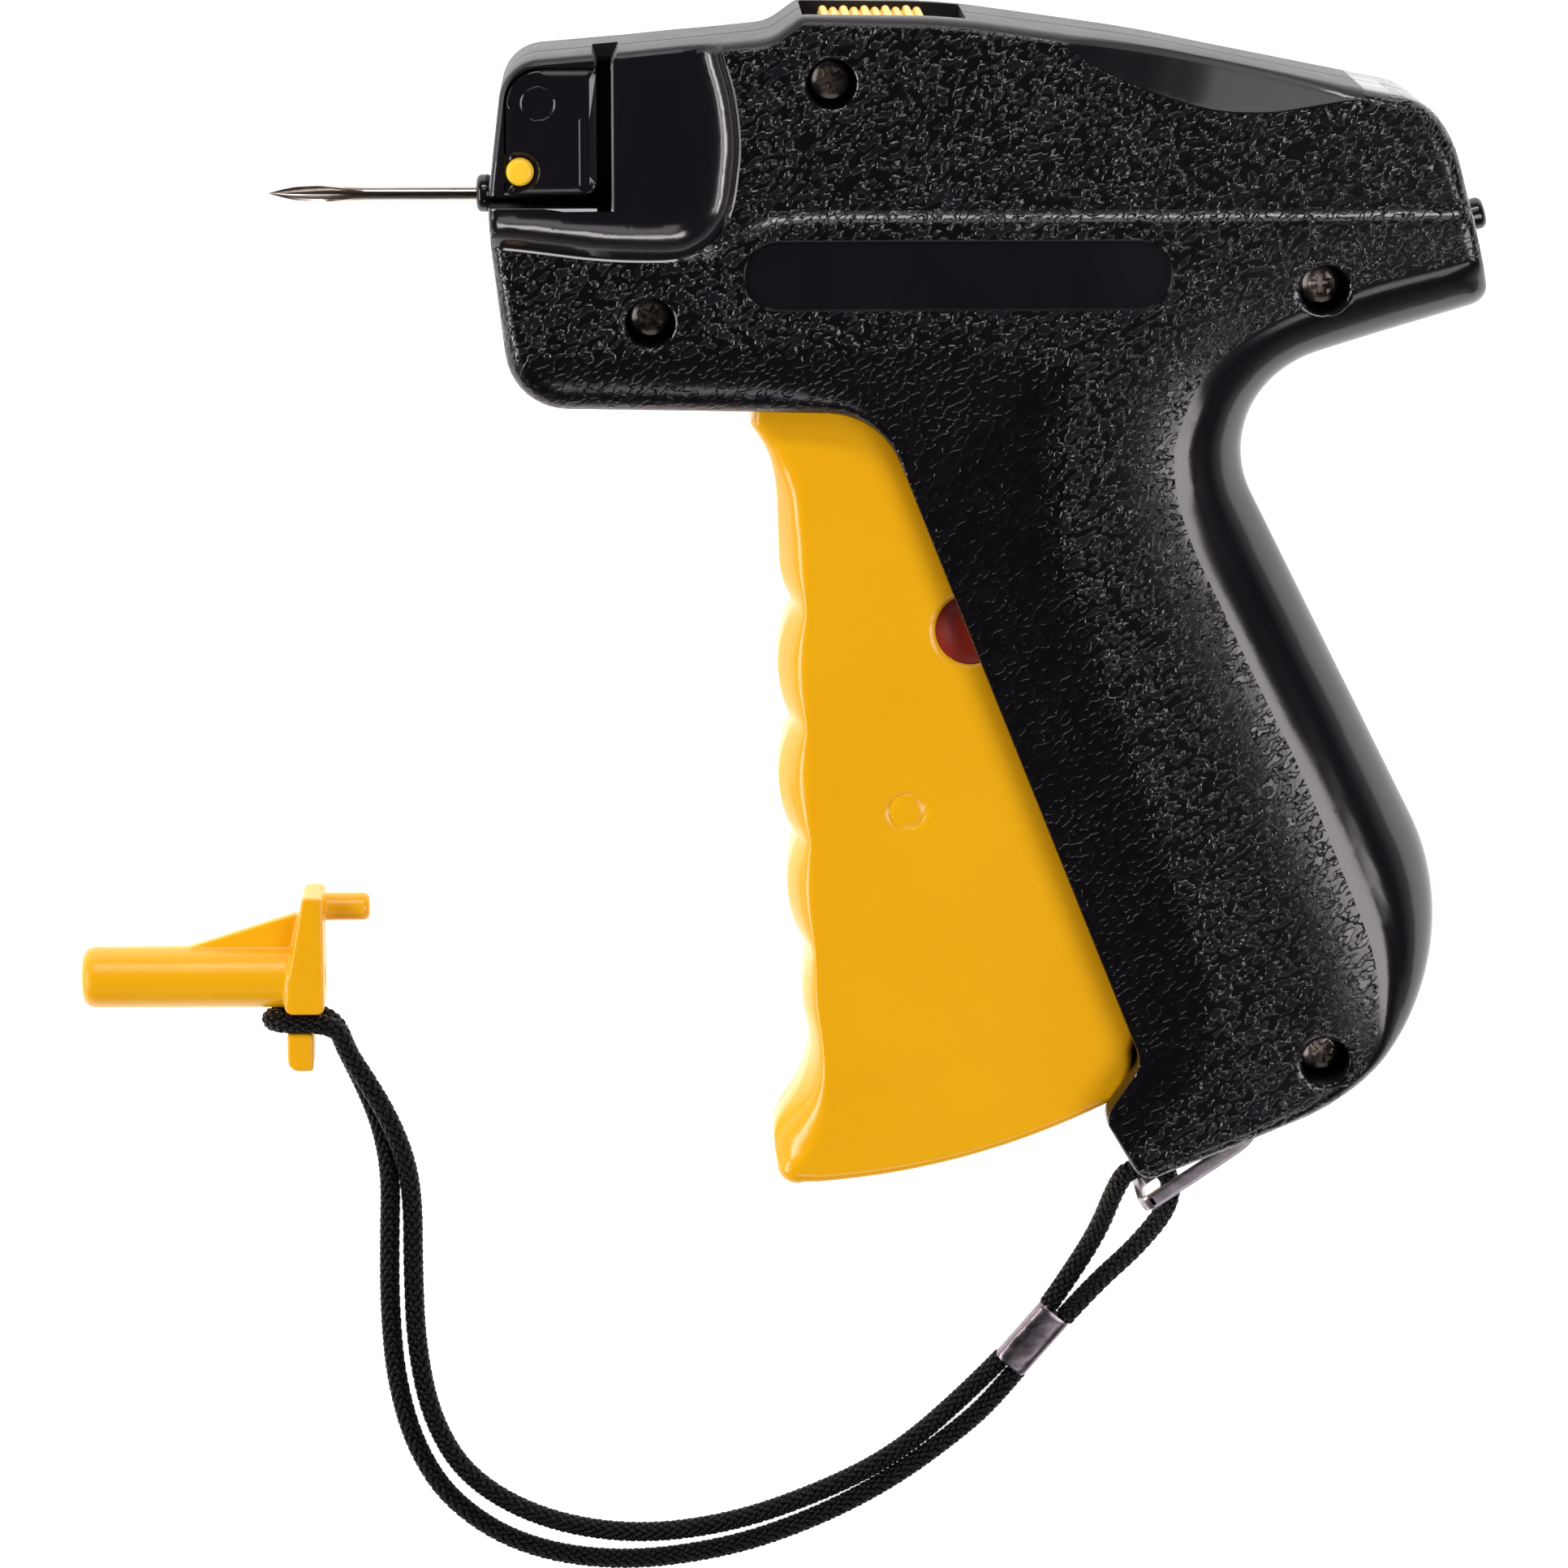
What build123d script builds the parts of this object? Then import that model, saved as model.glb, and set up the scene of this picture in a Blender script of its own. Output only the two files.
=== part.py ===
from build123d import *
from math import atan2, cos, degrees, pi, radians, sin, tan
import os

# Garment tag attacher lying on its right side. Millimetres.
# +X runs to the back of the tool and the needle points along -X, +Y is the top
# of the tool, +Z is up. The floor is z = 0, under the right housing half.

# ---------------------------------------------------------------- driving sizes
housing_width = 28.0
wall = 2.2
edge_round = 2.0
mid = housing_width / 2          # parting plane of the two halves
slip = 0.15                      # gap between sliding or loosely held pieces
turn_gap = 0.05                  # radial gap of a pin in its bore
snug = 0.02                      # radial gap of a fixed pin in its seat

needle_y = 54.7                  # axis of the needle and of the ejector rod
nose_x = -49.3
needle_tip_x = -77.2
needle_inner_end_x = -38.0
needle_radius = 1.1
needle_root_radius = 1.35        # thicker where it sits in the hub
needle_bore = 0.8
needle_point_length = 6.0
needle_slit = 0.7
rod_radius = 0.7
hub_radius = 2.4
hub_flange = 1.2

tag_slot_x = -34.7
tag_slot_width = 1.8
head_floor_depth = 4.0           # nose field below the side of the housing
head_plate_thickness = 3.2
head_plate_drop = 0.5            # plate below the nose field

lock_button_at = (-45.2, 58.5)
lock_button_radius = 1.75

trigger_width = 17.0
trigger_wall = 2.4
trigger_pivot_at = (-9.0, 35.0)
trigger_pull = 17.0              # degrees
trigger_gap = 0.6                # each side of the trigger in the front opening
spring_seat_at = (12.5, -24.0)   # foot of the return spring on the trigger
spring_seat_radius = 5.5
spring_seat_thickness = 2.4
spring_length = 43.0
spring_radius = 4.0
spring_wire = 1.0
pivot_pin_radius = 2.0
pivot_boss_radius = 5.0

lever_upper_arm = 31.0
lever_reach_over_axis = 0.3      # how far the upright lever's pin passes the needle axis
lever_pivot_at = (34.0, needle_y + lever_reach_over_axis - lever_upper_arm)
lever_lower_arm = 16.0
lever_swing = 60.0               # degrees, half of it each side of upright
lever_thickness = 3.0
lever_hub_radius = 4.8
lever_end_radius = 2.7
drive_pin_radius = 3.0
drive_pin_length = 10.0
carriage_pin_radius = 2.0
carriage_length = 11.0
carriage_width = 13.0
carriage_below = 6.2             # from the needle axis down to the foot of the fork
carriage_above = 7.0
carriage_pin_play = 0.45
rail_thickness = 1.5

feed_wheel_at = (-29.0, 62.4)
feed_wheel_radius = 4.4
feed_wheel_width = 5.0
feed_wheel_teeth = 12
feed_tooth_depth = 1.2
feed_axle_radius = 1.0
pawl_pivot_at = (-17.5, 69.0)
pawl_thickness = 3.0

slider_length = 13.3
slider_width = 16.0
slider_travel = 4.4
slider_start_x = -7.6
slider_pocket_x = (-10.0, 10.4)
slider_pocket_width = 19.0
slider_pocket_floor = 75.5
slider_top = 77.5
slider_ribs = 10
slider_rib_height = 0.7

rear_button_radius = 2.05
rear_button_at = (74.3, 51.3)    # where its axis leaves the rear face
rear_button_proud = 2.7
rear_flange_thickness = 1.2
rear_spring_length = 6.5

screw_hole_radius = 3.15
screw_head_radius = 2.7
screw_head_height = 2.0
screw_shank_radius = 1.45
screw_seat_z = 18.0
screw_boss_radius = 4.2
screw_places = [(-6.4, 69.7), (-29.0, 40.0), (55.4, 43.9), (57.4, -56.1)]

label_recess_x = (-17.3, 36.2)
label_recess_y = 45.9
label_recess_height = 8.7
label_recess_depth = 0.5

bail_hook = (50.0, -61.9)        # inner end of the bail, behind the butt wall
bail_bend = (47.8, -68.9)
bail_end = (35.0, -77.6)
bail_half_span = 5.2
bail_strip_width = 2.0
bail_strip_thickness = 1.0
bail_foot = 1.6

cord_diameter = 2.5
ferrule_upper = (24.7, -97.8)
ferrule_lower = (18.6, -105.0)
ferrule_width = 4.4
ferrule_height = 3.2

cap_axis_y = -49.8
cap_axis_z = 4.4
cap_closed_x = -104.0
cap_mouth_x = -72.2
cap_tube_radius = 4.1
cap_bore_radius = 1.35
cap_bore_length = 28.5
cap_neck_y = -55.5
cap_neck_width = 3.4
cap_neck_thickness = 2.4
cap_neck_height = 2.9
cap_tab_length = 5.2
cap_tab_thickness = 6.0
cap_pin_radius = 1.85
cap_pin_y = -40.4
cap_pin_end_x = -66.1

# Housing outline at the parting plane: corner point and corner radius.
housing_corners = [
    (-46.4, 28.8, 8.0), (-49.4, 53.6, 30.0), (-47.2, 72.2, 5.5), (-31.8, 73.5, 40.0),
    (-14.0, 75.3, 6.0), (-10.2, 78.0, 2.3), (8.0, 77.8, 80.0), (33.0, 74.3, 150.0),
    (56.0, 69.6, 150.0), (68.0, 67.2, 8.0), (71.5, 62.2, 15.0), (76.8, 41.7, 2.4),
    (40.4, 30.6, 13.0), (82.7, -53.0, 27.8), (34.0, -72.3, 2.4), (28.9, -63.6, 2.4),
    (33.8, -56.4, 3.5), (-0.1, 28.0, 10.0),
]

# Trigger outline: finger grooves down the front, a foot at the bottom, an arc
# about the pivot below, and a back edge that stays inside the handle.
trigger_front = [
    (-16.4, 26.2), (-13.4, 20.5), (-12.8, 14.0), (-12.7, 7.0), (-10.9, 2.3), (-12.6, -4.3),
    (-11.1, -12.9), (-12.7, -20.2), (-10.6, -28.1), (-11.6, -34.2), (-9.2, -43.1),
    (-9.7, -49.1), (-8.6, -55.7), (-10.0, -61.2), (-13.4, -66.7), (-13.0, -72.0),
]
trigger_toe = (-9.6, -73.6)
trigger_heel = (30.6, -62.6)
trigger_rear_corner = (33.0, -56.0)


# ---------------------------------------------------------------- small helpers
def outline(corners):
    path = FilletPolyline([(x, y) for x, y, r in corners], radius=[r for x, y, r in corners], close=True)
    return make_face(path)


def raised(face, low, high):
    return extrude(Location((0, 0, low)) * face, high - low, dir=(0, 0, 1))


def block(x, y, z):
    size = (x[1] - x[0], y[1] - y[0], z[1] - z[0])
    return Location(((x[0] + x[1]) / 2, (y[0] + y[1]) / 2, (z[0] + z[1]) / 2)) * Box(*size)


def upright(at, radius, low, high):
    return Location((at[0], at[1], (low + high) / 2)) * Cylinder(radius, high - low)


def along_x(radius, x_from, x_to, y, z):
    tube = Cylinder(radius, abs(x_to - x_from))
    return Location(((x_from + x_to) / 2, y, z), (0, 90, 0)) * tube


def coil(radius, wire, height, turns):
    path = Helix(pitch=height / turns, height=height, radius=radius)
    start = Plane(origin=path @ 0, z_dir=path % 0)
    return sweep(start * Circle(wire / 2), path=path)


def turned(point, centre, angle):
    dx, dy = point[0] - centre[0], point[1] - centre[1]
    a = radians(angle)
    return (centre[0] + dx * cos(a) - dy * sin(a), centre[1] + dx * sin(a) + dy * cos(a))


def tube_along(points, diameter, name):
    """A round cord: straight runs joined by arcs as large as their runs allow."""
    path_points = [Vector(*p) for p in points]
    runs = [b - a for a, b in zip(path_points, path_points[1:])]
    radii = []
    for before, after in zip(runs, runs[1:]):
        half_turn = radians(before.get_angle(after)) / 2
        radii.append(0.45 * min(before.length, after.length) / tan(half_turn))
    path = FilletPolyline(*path_points, radius=radii)
    section = Plane(origin=path @ 0, z_dir=path % 0) * Circle(diameter / 2)
    tube = sweep(section, path=path)
    ideal = pi * diameter ** 2 / 4 * path.length
    print(f"{name}: length {path.length:.1f}, volume {tube.volume:.1f} of {ideal:.1f}")
    print("  radii", " ".join(f"{r:.1f}" for r in radii))
    return tube


# ---------------------------------------------------------------- housing halves
housing_face = outline(housing_corners)
inner_face = offset(housing_face, amount=-wall)
field_z = housing_width - head_floor_depth
plate_top = field_z - head_plate_drop
plate_bottom = plate_top - head_plate_thickness

opening_low = mid - trigger_width / 2 - trigger_gap
opening_high = mid + trigger_width / 2 + trigger_gap

# The front of the handle and the underside behind the nose are open for the trigger,
# down to the circle that its toe sweeps.
trigger_opening_corners = [
    (-18.5, 25.0, 0), (-18.5, 32.0, 0), (6.0, 32.0, 0), (40.0, -50.0, 0),
    (38.0, -75.0, 0), (20.0, -75.0, 0), (-6.0, 20.0, 0),
]
toe_reach = (Vector(*trigger_toe) - Vector(*trigger_pivot_at)).length
trigger_opening = raised(outline(trigger_opening_corners), opening_low, opening_high)
trigger_opening &= upright(trigger_pivot_at, toe_reach + trigger_gap, opening_low, opening_high)

# Nose field with the tag slot, lower than the side of the housing.
nose_field_corners = [
    (-55.0, 49.8, 0), (-22.8, 47.3, 6.0), (-17.4, 61.0, 12.0), (-21.4, 80.0, 0), (-55.0, 80.0, 0),
]
nose_field = raised(outline(nose_field_corners), field_z, housing_width + 1)
head_pocket_x = (nose_x + wall, tag_slot_x + tag_slot_width / 2)
head_pocket_y = (needle_y - 0.4, 71.4)
head_pocket = block(head_pocket_x, head_pocket_y, (plate_bottom, housing_width))
tag_slot_cut = block(
    (tag_slot_x - tag_slot_width / 2, tag_slot_x + tag_slot_width / 2),
    (needle_y - 1.2, 80.0),
    (mid - 3.0, housing_width),
)
tag_funnel = raised(
    outline([(-37.2, 76.0, 0), (-31.8, 76.0, 0), (-33.8, 71.8, 0), (-35.6, 71.8, 0)]),
    mid - 3.0,
    housing_width,
)

hub_seat = along_x(hub_radius + snug, nose_x - 2, needle_inner_end_x + slip, needle_y, mid)

# The bail: two bent legs, a cross strip at the end and a foot on each leg inside.
bail_edge = bail_half_span + bail_strip_thickness


def bail_strip(gap):
    run = Polyline(bail_hook, bail_bend, bail_end)
    leg = make_face(offset(run, amount=bail_strip_width / 2 + gap, kind=Kind.INTERSECTION))
    low, high = mid - bail_edge - gap, mid + bail_edge + gap
    leg_height = bail_strip_thickness + 2 * gap
    strip = raised(leg, low, low + leg_height)
    strip += raised(leg, high - leg_height, high)
    along = (Vector(*bail_end) - Vector(*bail_bend)).normalized()
    turn = degrees(atan2(along.Y, along.X))
    cross_size = (bail_strip_thickness, bail_strip_width + 2 * gap, high - low)
    cross_at = Vector(*bail_end) - along * (bail_strip_thickness / 2)
    strip += Location((cross_at.X, cross_at.Y, mid), (0, 0, turn)) * Box(*cross_size)
    for side in (-1, 1):
        foot_z = mid + side * (bail_edge + bail_foot / 2 - 0.1)
        foot_size = (bail_strip_width + 2 * gap, bail_strip_width + 2 * gap, bail_foot + 0.2 + 2 * gap)
        strip += Location((*bail_hook, foot_z)) * Box(*foot_size)
    return strip


bail_cut = bail_strip(slip)


# The rear button slides square to the rear face of the housing.
rear_top, rear_foot = housing_corners[10], housing_corners[11]
rear_tilt = degrees(atan2(rear_top[0] - rear_foot[0], rear_foot[1] - rear_top[1])) + 180


def along_rear(radius, start, end):
    """A cylinder on the rear button's axis, measured outward from the rear face."""
    tube = Location(((start + end) / 2, 0, 0), (0, 90, 0)) * Cylinder(radius, end - start)
    return Location((*rear_button_at, mid), (0, 0, rear_tilt)) * tube


rear_wall_hole = along_rear(rear_button_radius + turn_gap, -wall - 4, 6)
rear_flange_out = -wall - 0.3
rear_flange_in = rear_flange_out - rear_flange_thickness
slider_pocket = block(
    slider_pocket_x,
    (slider_pocket_floor, 80.0),
    (mid - slider_pocket_width / 2, mid + slider_pocket_width / 2),
)
slider_neck_half = 2.0
slider_neck_x = slider_start_x + slider_length - 4.5
slider_plate_half = 3.0
slider_plate_thickness = 1.4
slider_slot = block(
    (slider_neck_x - slider_neck_half - slip, slider_neck_x + slider_neck_half + slider_travel + slip),
    (68.0, 80.0),
    (mid - slider_neck_half - slip, mid + slider_neck_half + slip),
)

stem_bosses = [
    (trigger_pivot_at, pivot_boss_radius, pivot_pin_radius),
    (lever_pivot_at, pivot_boss_radius, pivot_pin_radius),
    (feed_wheel_at, 2.6, feed_axle_radius),
    (pawl_pivot_at, 2.6, feed_axle_radius),
]
boss_reach = {
    trigger_pivot_at: trigger_width / 2 + slip,
    lever_pivot_at: lever_thickness / 2 + slip,
    feed_wheel_at: feed_wheel_width / 2 + slip,
    pawl_pivot_at: pawl_thickness / 2 + slip,
}
# The return spring pushes along the path that its seat takes with the trigger.
seat_pulled = turned(spring_seat_at, trigger_pivot_at, trigger_pull)
spring_turn = degrees(atan2(seat_pulled[1] - spring_seat_at[1], seat_pulled[0] - spring_seat_at[0]))
spring_frame = Location((*spring_seat_at, mid), (0, 0, spring_turn))
carriage_y = (needle_y - carriage_below, needle_y + carriage_above)
rail_x = (6.0, 57.0)


def rails(near):
    """An L-shaped rail above and one below the carriage, on one side wall."""
    side = 1 if near else -1
    faces = None
    for edge, out in ((carriage_y[0], -1), (carriage_y[1], 1)):
        for y_in, y_out, z_in in (
            (edge - out * rail_thickness, edge + out * (slip + rail_thickness), carriage_width / 2 + slip),
            (edge + out * slip, edge + out * (slip + rail_thickness), carriage_width / 2 - 2.5),
        ):
            z = sorted((mid + side * z_in, mid + side * (mid - wall + 0.01)))
            rib = block(rail_x, sorted((y_in, y_out)), z)
            faces = rib if faces is None else faces + rib
    return faces


def interior(near, low, high):
    """Ribs, rails and seats of one half, between its wall and the parting plane."""
    z = (low, high)
    seat_height = spring_radius + spring_wire
    z_seat = (mid, mid + seat_height) if near else (mid - seat_height, mid)
    pieces = rails(near)
    spring_end = Box(14.0, 2 * spring_seat_radius, 60.0)
    spring_end = spring_frame * Location((spring_length + 7.0, 0, 0)) * spring_end
    pieces += spring_end & block((0, 90), (-60, 60), z_seat)
    button_stop = Box(2.0, 8.0, 60.0)
    button_stop = Location((rear_flange_in - rear_spring_length - 1.0, 0, 0)) * button_stop
    button_stop = Location((*rear_button_at, mid), (0, 0, rear_tilt)) * button_stop
    pieces += button_stop & block((0, 90), (0, 90), z)
    pieces += block((-12.5, 13.0), (slider_pocket_floor - wall, slider_pocket_floor), z)
    pieces += block((nose_x + 1, needle_inner_end_x), (needle_y - 4.6, needle_y + 4.6), z)
    return pieces


def housing_half(near):
    low, high = (mid, housing_width) if near else (0, mid)
    body = raised(housing_face, low, high)
    outer_z = housing_width if near else 0
    body = fillet([e for e in body.edges() if abs(e.center().Z - outer_z) < 1e-3], edge_round)
    skin = (mid, housing_width - wall) if near else (wall, mid)
    cavity = raised(inner_face, *skin)
    if near:
        cavity -= block((-60.0, -16.5), (45.8, 90.0), (field_z - wall, housing_width))
    body -= cavity
    inside = interior(near, skin[0] - 0.01, skin[1] + 0.01)
    for at, boss, pin in stem_bosses:
        reach = boss_reach[at]
        z = (mid + reach, skin[1]) if near else (skin[0], mid - reach)
        inside += upright(at, boss, *z)
    for at in screw_places:
        inside += upright(at, screw_boss_radius, *skin)
    if not near:
        inside += upright(lock_button_at, 2.6, wall, mid)
    body += inside & raised(housing_face, skin[0], skin[1])
    if near:
        body -= nose_field
        body -= head_pocket
        label = SlotOverall(label_recess_x[1] - label_recess_x[0], label_recess_height)
        label_at = Location(((label_recess_x[0] + label_recess_x[1]) / 2, label_recess_y))
        body -= raised(label_at * label, housing_width - label_recess_depth, housing_width + 1)
        body -= upright(lock_button_at, 3.0, mid - 1, plate_bottom + 1)
    for at in screw_places:
        if near:
            body -= upright(at, screw_hole_radius, screw_seat_z, housing_width + 1)
            body -= upright(at, screw_shank_radius + slip, mid - 1, screw_seat_z + 1)
        else:
            body -= upright(at, screw_shank_radius + snug, 3.0, mid + 1)
    for at, boss, pin in stem_bosses:
        pin_z = (mid - 1, housing_width - wall) if near else (wall, mid + 1)
        body -= upright(at, pin + snug, *pin_z)
    body -= trigger_opening
    body -= tag_slot_cut
    body -= tag_funnel
    body -= hub_seat
    body -= along_x(rod_radius + 0.6, -45.0, 60.0, needle_y, mid)
    body -= bail_cut
    body -= rear_wall_hole
    body -= slider_pocket
    body -= slider_slot
    return body


parts = {}
parts["left_housing"] = housing_half(True)
parts["right_housing"] = housing_half(False)

# ---------------------------------------------------------------- needle and head
needle_straight_x = needle_tip_x + needle_point_length
needle_root_x = nose_x - hub_flange
needle = along_x(needle_radius, needle_straight_x, needle_root_x, needle_y, mid)
needle += along_x(needle_root_radius, needle_root_x, needle_inner_end_x, needle_y, mid)
point = Cone(needle_radius, 0.06, needle_point_length)
point_at = Location(((needle_tip_x + needle_straight_x) / 2, needle_y, mid), (0, -90, 0))
needle += point_at * point
needle -= along_x(needle_bore, needle_straight_x + 1, needle_inner_end_x + 1, needle_y, mid)
needle -= block(
    (needle_straight_x - 1.5, needle_inner_end_x + 1),
    (needle_y - needle_slit / 2, needle_y + needle_slit / 2),
    (mid, mid + 2 * needle_radius),
)
parts["needle"] = needle

hub = along_x(hub_radius, needle_root_x, needle_inner_end_x, needle_y, mid)
hub -= along_x(needle_root_radius + snug, nose_x - 5, 0, needle_y, mid)
parts["needle_hub"] = hub

plate = block(
    (head_pocket_x[0] + slip, tag_slot_x - tag_slot_width / 2),
    (head_pocket_y[0] + 0.8, head_pocket_y[1] - slip),
    (plate_bottom, plate_top),
)
plate = fillet(plate.edges().filter_by(Axis.Z), 1.0)
plate -= upright(lock_button_at, lock_button_radius + slip, 0, housing_width)
parts["needle_head_plate"] = plate

button_flange_z = plate_bottom - 1.2
button = upright(lock_button_at, lock_button_radius, button_flange_z, field_z + 0.3)
button = fillet(button.edges().group_by(Axis.Z)[-1], 0.5)
button += upright(lock_button_at, lock_button_radius + 0.8, button_flange_z - 0.02, plate_bottom - 0.05)
parts["needle_lock_button"] = button

lock_spring_wire = 0.4
lock_spring_gap = lock_spring_wire / 2 + 0.05
lock_spring = coil(1.2, lock_spring_wire, button_flange_z - mid - 2 * lock_spring_gap, 4)
parts["lock_button_spring"] = Location((*lock_button_at, mid + lock_spring_gap)) * lock_spring

# ---------------------------------------------------------------- trigger
lever_ratio = lever_swing / trigger_pull


def lever_point(length, angle_from_up):
    a = radians(angle_from_up)
    return (lever_pivot_at[0] + length * sin(a), lever_pivot_at[1] + length * cos(a))


def drive_pin_at(pull):
    """Drive pin centre in the trigger's own rest frame, at a given pull."""
    tilt = lever_swing / 2 - lever_ratio * pull
    return turned(lever_point(-lever_lower_arm, tilt), trigger_pivot_at, -pull)


# The cam is the line that the drive pin's edge follows on the back of the trigger.
cam_steps = 5
cam_path = [drive_pin_at(trigger_pull * i / cam_steps) for i in range(cam_steps + 1)]
cam_gap = drive_pin_radius + 0.3
cam_edge = []
for i, (x, y) in enumerate(cam_path):
    before = cam_path[max(i - 1, 0)]
    after = cam_path[min(i + 1, cam_steps)]
    dx, dy = after[0] - before[0], after[1] - before[1]
    size = (dx * dx + dy * dy) ** 0.5
    cam_edge.append((x + cam_gap * dy / size, y - cam_gap * dx / size))

trigger_top_radius = 5.6
pivot_x, pivot_y = trigger_pivot_at
front_line = Spline(*trigger_front)
toe_line = ThreePointArc(trigger_front[-1], (-12.2, -73.2), trigger_toe)
bottom_middle = (11.6, -70.1)
bottom_line = ThreePointArc(trigger_toe, bottom_middle, trigger_heel)
heel_line = ThreePointArc(trigger_heel, (32.4, -60.0), trigger_rear_corner)
back_line = Polyline(trigger_rear_corner, (36.5, -46.0), (37.0, -28.0), cam_edge[-1])
cam_line = Spline(*reversed(cam_edge))
top_back = Polyline(cam_edge[0], (19.0, 20.0), (pivot_x + 4.0, pivot_y + 3.9))
top_line = ThreePointArc(
    (pivot_x + 4.0, pivot_y + 3.9), (pivot_x, pivot_y + trigger_top_radius), (pivot_x - trigger_top_radius, pivot_y)
)
neck_line = Line((pivot_x - trigger_top_radius, pivot_y), trigger_front[0])
trigger_wire = Wire([
    *front_line.edges(), *toe_line.edges(), *bottom_line.edges(), *heel_line.edges(),
    *back_line.edges(), *cam_line.edges(), *top_back.edges(), *top_line.edges(), *neck_line.edges(),
])
trigger_face = make_face(trigger_wire)
trigger_z = (mid - trigger_width / 2, mid + trigger_width / 2)
trigger = raised(trigger_face, *trigger_z)

# Hollow, open at the back below the cam, with a shelf for the return spring.
hollow_z = (trigger_z[0] + trigger_wall, trigger_z[1] - trigger_wall)
hollow_corners = [
    (-9.0, 24.0, 2.0), (-9.4, 8.0, 4.0), (-7.5, -30.0, 6.0), (-5.5, -52.0, 6.0), (-8.0, -68.0, 3.0),
    (28.0, -59.5, 3.0), (33.0, -46.0, 3.0), (26.0, -6.0, 3.0), (17.0, 8.0, 3.0), (4.0, 23.0, 3.0),
]
trigger -= raised(outline(hollow_corners), *hollow_z)
trigger -= block((20.0, 50.0), (-40.0, -9.0), hollow_z)
seat_height = hollow_z[1] - hollow_z[0] + 0.4
seat = Box(spring_seat_thickness, 2 * spring_seat_radius + 2, seat_height)
trigger += spring_frame * Location((-spring_seat_thickness / 2, 0, 0)) * seat
thumb_hole_at = (11.6, -0.2)
trigger -= upright(thumb_hole_at, 4.5, hollow_z[1] - 0.5, trigger_z[1] + 1)
trigger -= upright(trigger_pivot_at, pivot_pin_radius + turn_gap, 0, housing_width)
# Room for the lever hub and the carriage rails above the trigger's back edge.
trigger -= upright(turned(lever_pivot_at, trigger_pivot_at, -trigger_pull), lever_hub_radius + 1.0, 0, 30)
parts["trigger"] = trigger

pin_reach = (wall + 0.2, housing_width - wall - 0.2)
parts["trigger_pivot_pin"] = upright(trigger_pivot_at, pivot_pin_radius, *pin_reach)

spring_gap = spring_wire / 2 + 0.1
return_spring = coil(spring_radius, spring_wire, spring_length - 2 * spring_gap, 11)
spring_at = spring_frame * Location((spring_gap, 0, 0), (0, 90, 0))
parts["trigger_return_spring"] = spring_at * return_spring

# ---------------------------------------------------------------- drive lever
rest_tilt = lever_swing / 2
tip = lever_point(lever_upper_arm, rest_tilt)
foot = lever_point(-lever_lower_arm, rest_tilt)


def arm(start, end, start_radius, end_radius):
    """A flat arm that tapers between two round ends."""
    dx, dy = end[0] - start[0], end[1] - start[1]
    length = (dx * dx + dy * dy) ** 0.5
    nx, ny = -dy / length, dx / length
    flank = make_face(Polyline(
        (start[0] + nx * start_radius, start[1] + ny * start_radius),
        (end[0] + nx * end_radius, end[1] + ny * end_radius),
        (end[0] - nx * end_radius, end[1] - ny * end_radius),
        (start[0] - nx * start_radius, start[1] - ny * start_radius),
        close=True,
    ))
    return flank


lever_z = (mid - lever_thickness / 2, mid + lever_thickness / 2)
tip_radius = 3.4
lever = raised(arm(lever_pivot_at, tip, lever_hub_radius * 0.8, tip_radius * 0.8), *lever_z)
lever += raised(arm(lever_pivot_at, foot, lever_hub_radius * 0.8, lever_end_radius * 0.8), *lever_z)
lever += upright(lever_pivot_at, lever_hub_radius, *lever_z)
lever += upright(tip, tip_radius, *lever_z)
lever += upright(foot, lever_end_radius, *lever_z)
lever -= upright(lever_pivot_at, pivot_pin_radius + turn_gap, 0, housing_width)
lever -= upright(tip, carriage_pin_radius + snug, 0, housing_width)
lever -= upright(foot, drive_pin_radius * 0.6 + snug, 0, housing_width)
parts["drive_lever"] = lever
parts["drive_lever_pin"] = upright(lever_pivot_at, pivot_pin_radius, *pin_reach)

drive_pin = upright(foot, drive_pin_radius * 0.6, mid - drive_pin_length / 2, mid + drive_pin_length / 2)
for low, high in ((mid - drive_pin_length / 2, lever_z[0] - snug), (lever_z[1] + snug, mid + drive_pin_length / 2)):
    drive_pin += upright(foot, drive_pin_radius, low, high)
parts["drive_pin"] = drive_pin
parts["carriage_pin"] = upright(tip, carriage_pin_radius, mid - 5.5, mid + 5.5)

# ---------------------------------------------------------------- carriage and rod
slot_high = lever_pivot_at[1] + lever_upper_arm + carriage_pin_radius + 0.3
carriage_x = (tip[0] - carriage_length / 2, tip[0] + carriage_length / 2)
carriage = block(carriage_x, carriage_y, (mid - carriage_width / 2, mid + carriage_width / 2))
carriage = fillet(carriage.edges().filter_by(Axis.X), 1.0)
carriage -= block(
    (tip[0] - carriage_pin_radius - carriage_pin_play, tip[0] + carriage_pin_radius + carriage_pin_play),
    (carriage_y[0] - 1, slot_high),
    (mid - carriage_width, mid + carriage_width),
)
carriage -= block(
    (carriage_x[0] - 1, carriage_x[1] + 1),
    (carriage_y[0] - 1, slot_high + tip_radius - carriage_pin_radius),
    (lever_z[0] - 0.3, lever_z[1] + 0.3),
)
bridge_x = (carriage_x[0] - 5.0, carriage_x[0] + 0.5)
carriage += block(bridge_x, (needle_y - 3.0, carriage_y[1] - 1.2), (mid - 4.0, mid + 4.0))
rod_seat_x = carriage_x[0] - 1.0
carriage -= along_x(rod_radius + snug, bridge_x[0] - 1, rod_seat_x, needle_y, mid)
parts["pusher_carriage"] = carriage

rod_tip_x = tag_slot_x + tag_slot_width / 2 + 0.6
parts["ejector_rod"] = along_x(rod_radius, rod_tip_x, rod_seat_x - snug, needle_y, mid)

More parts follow.
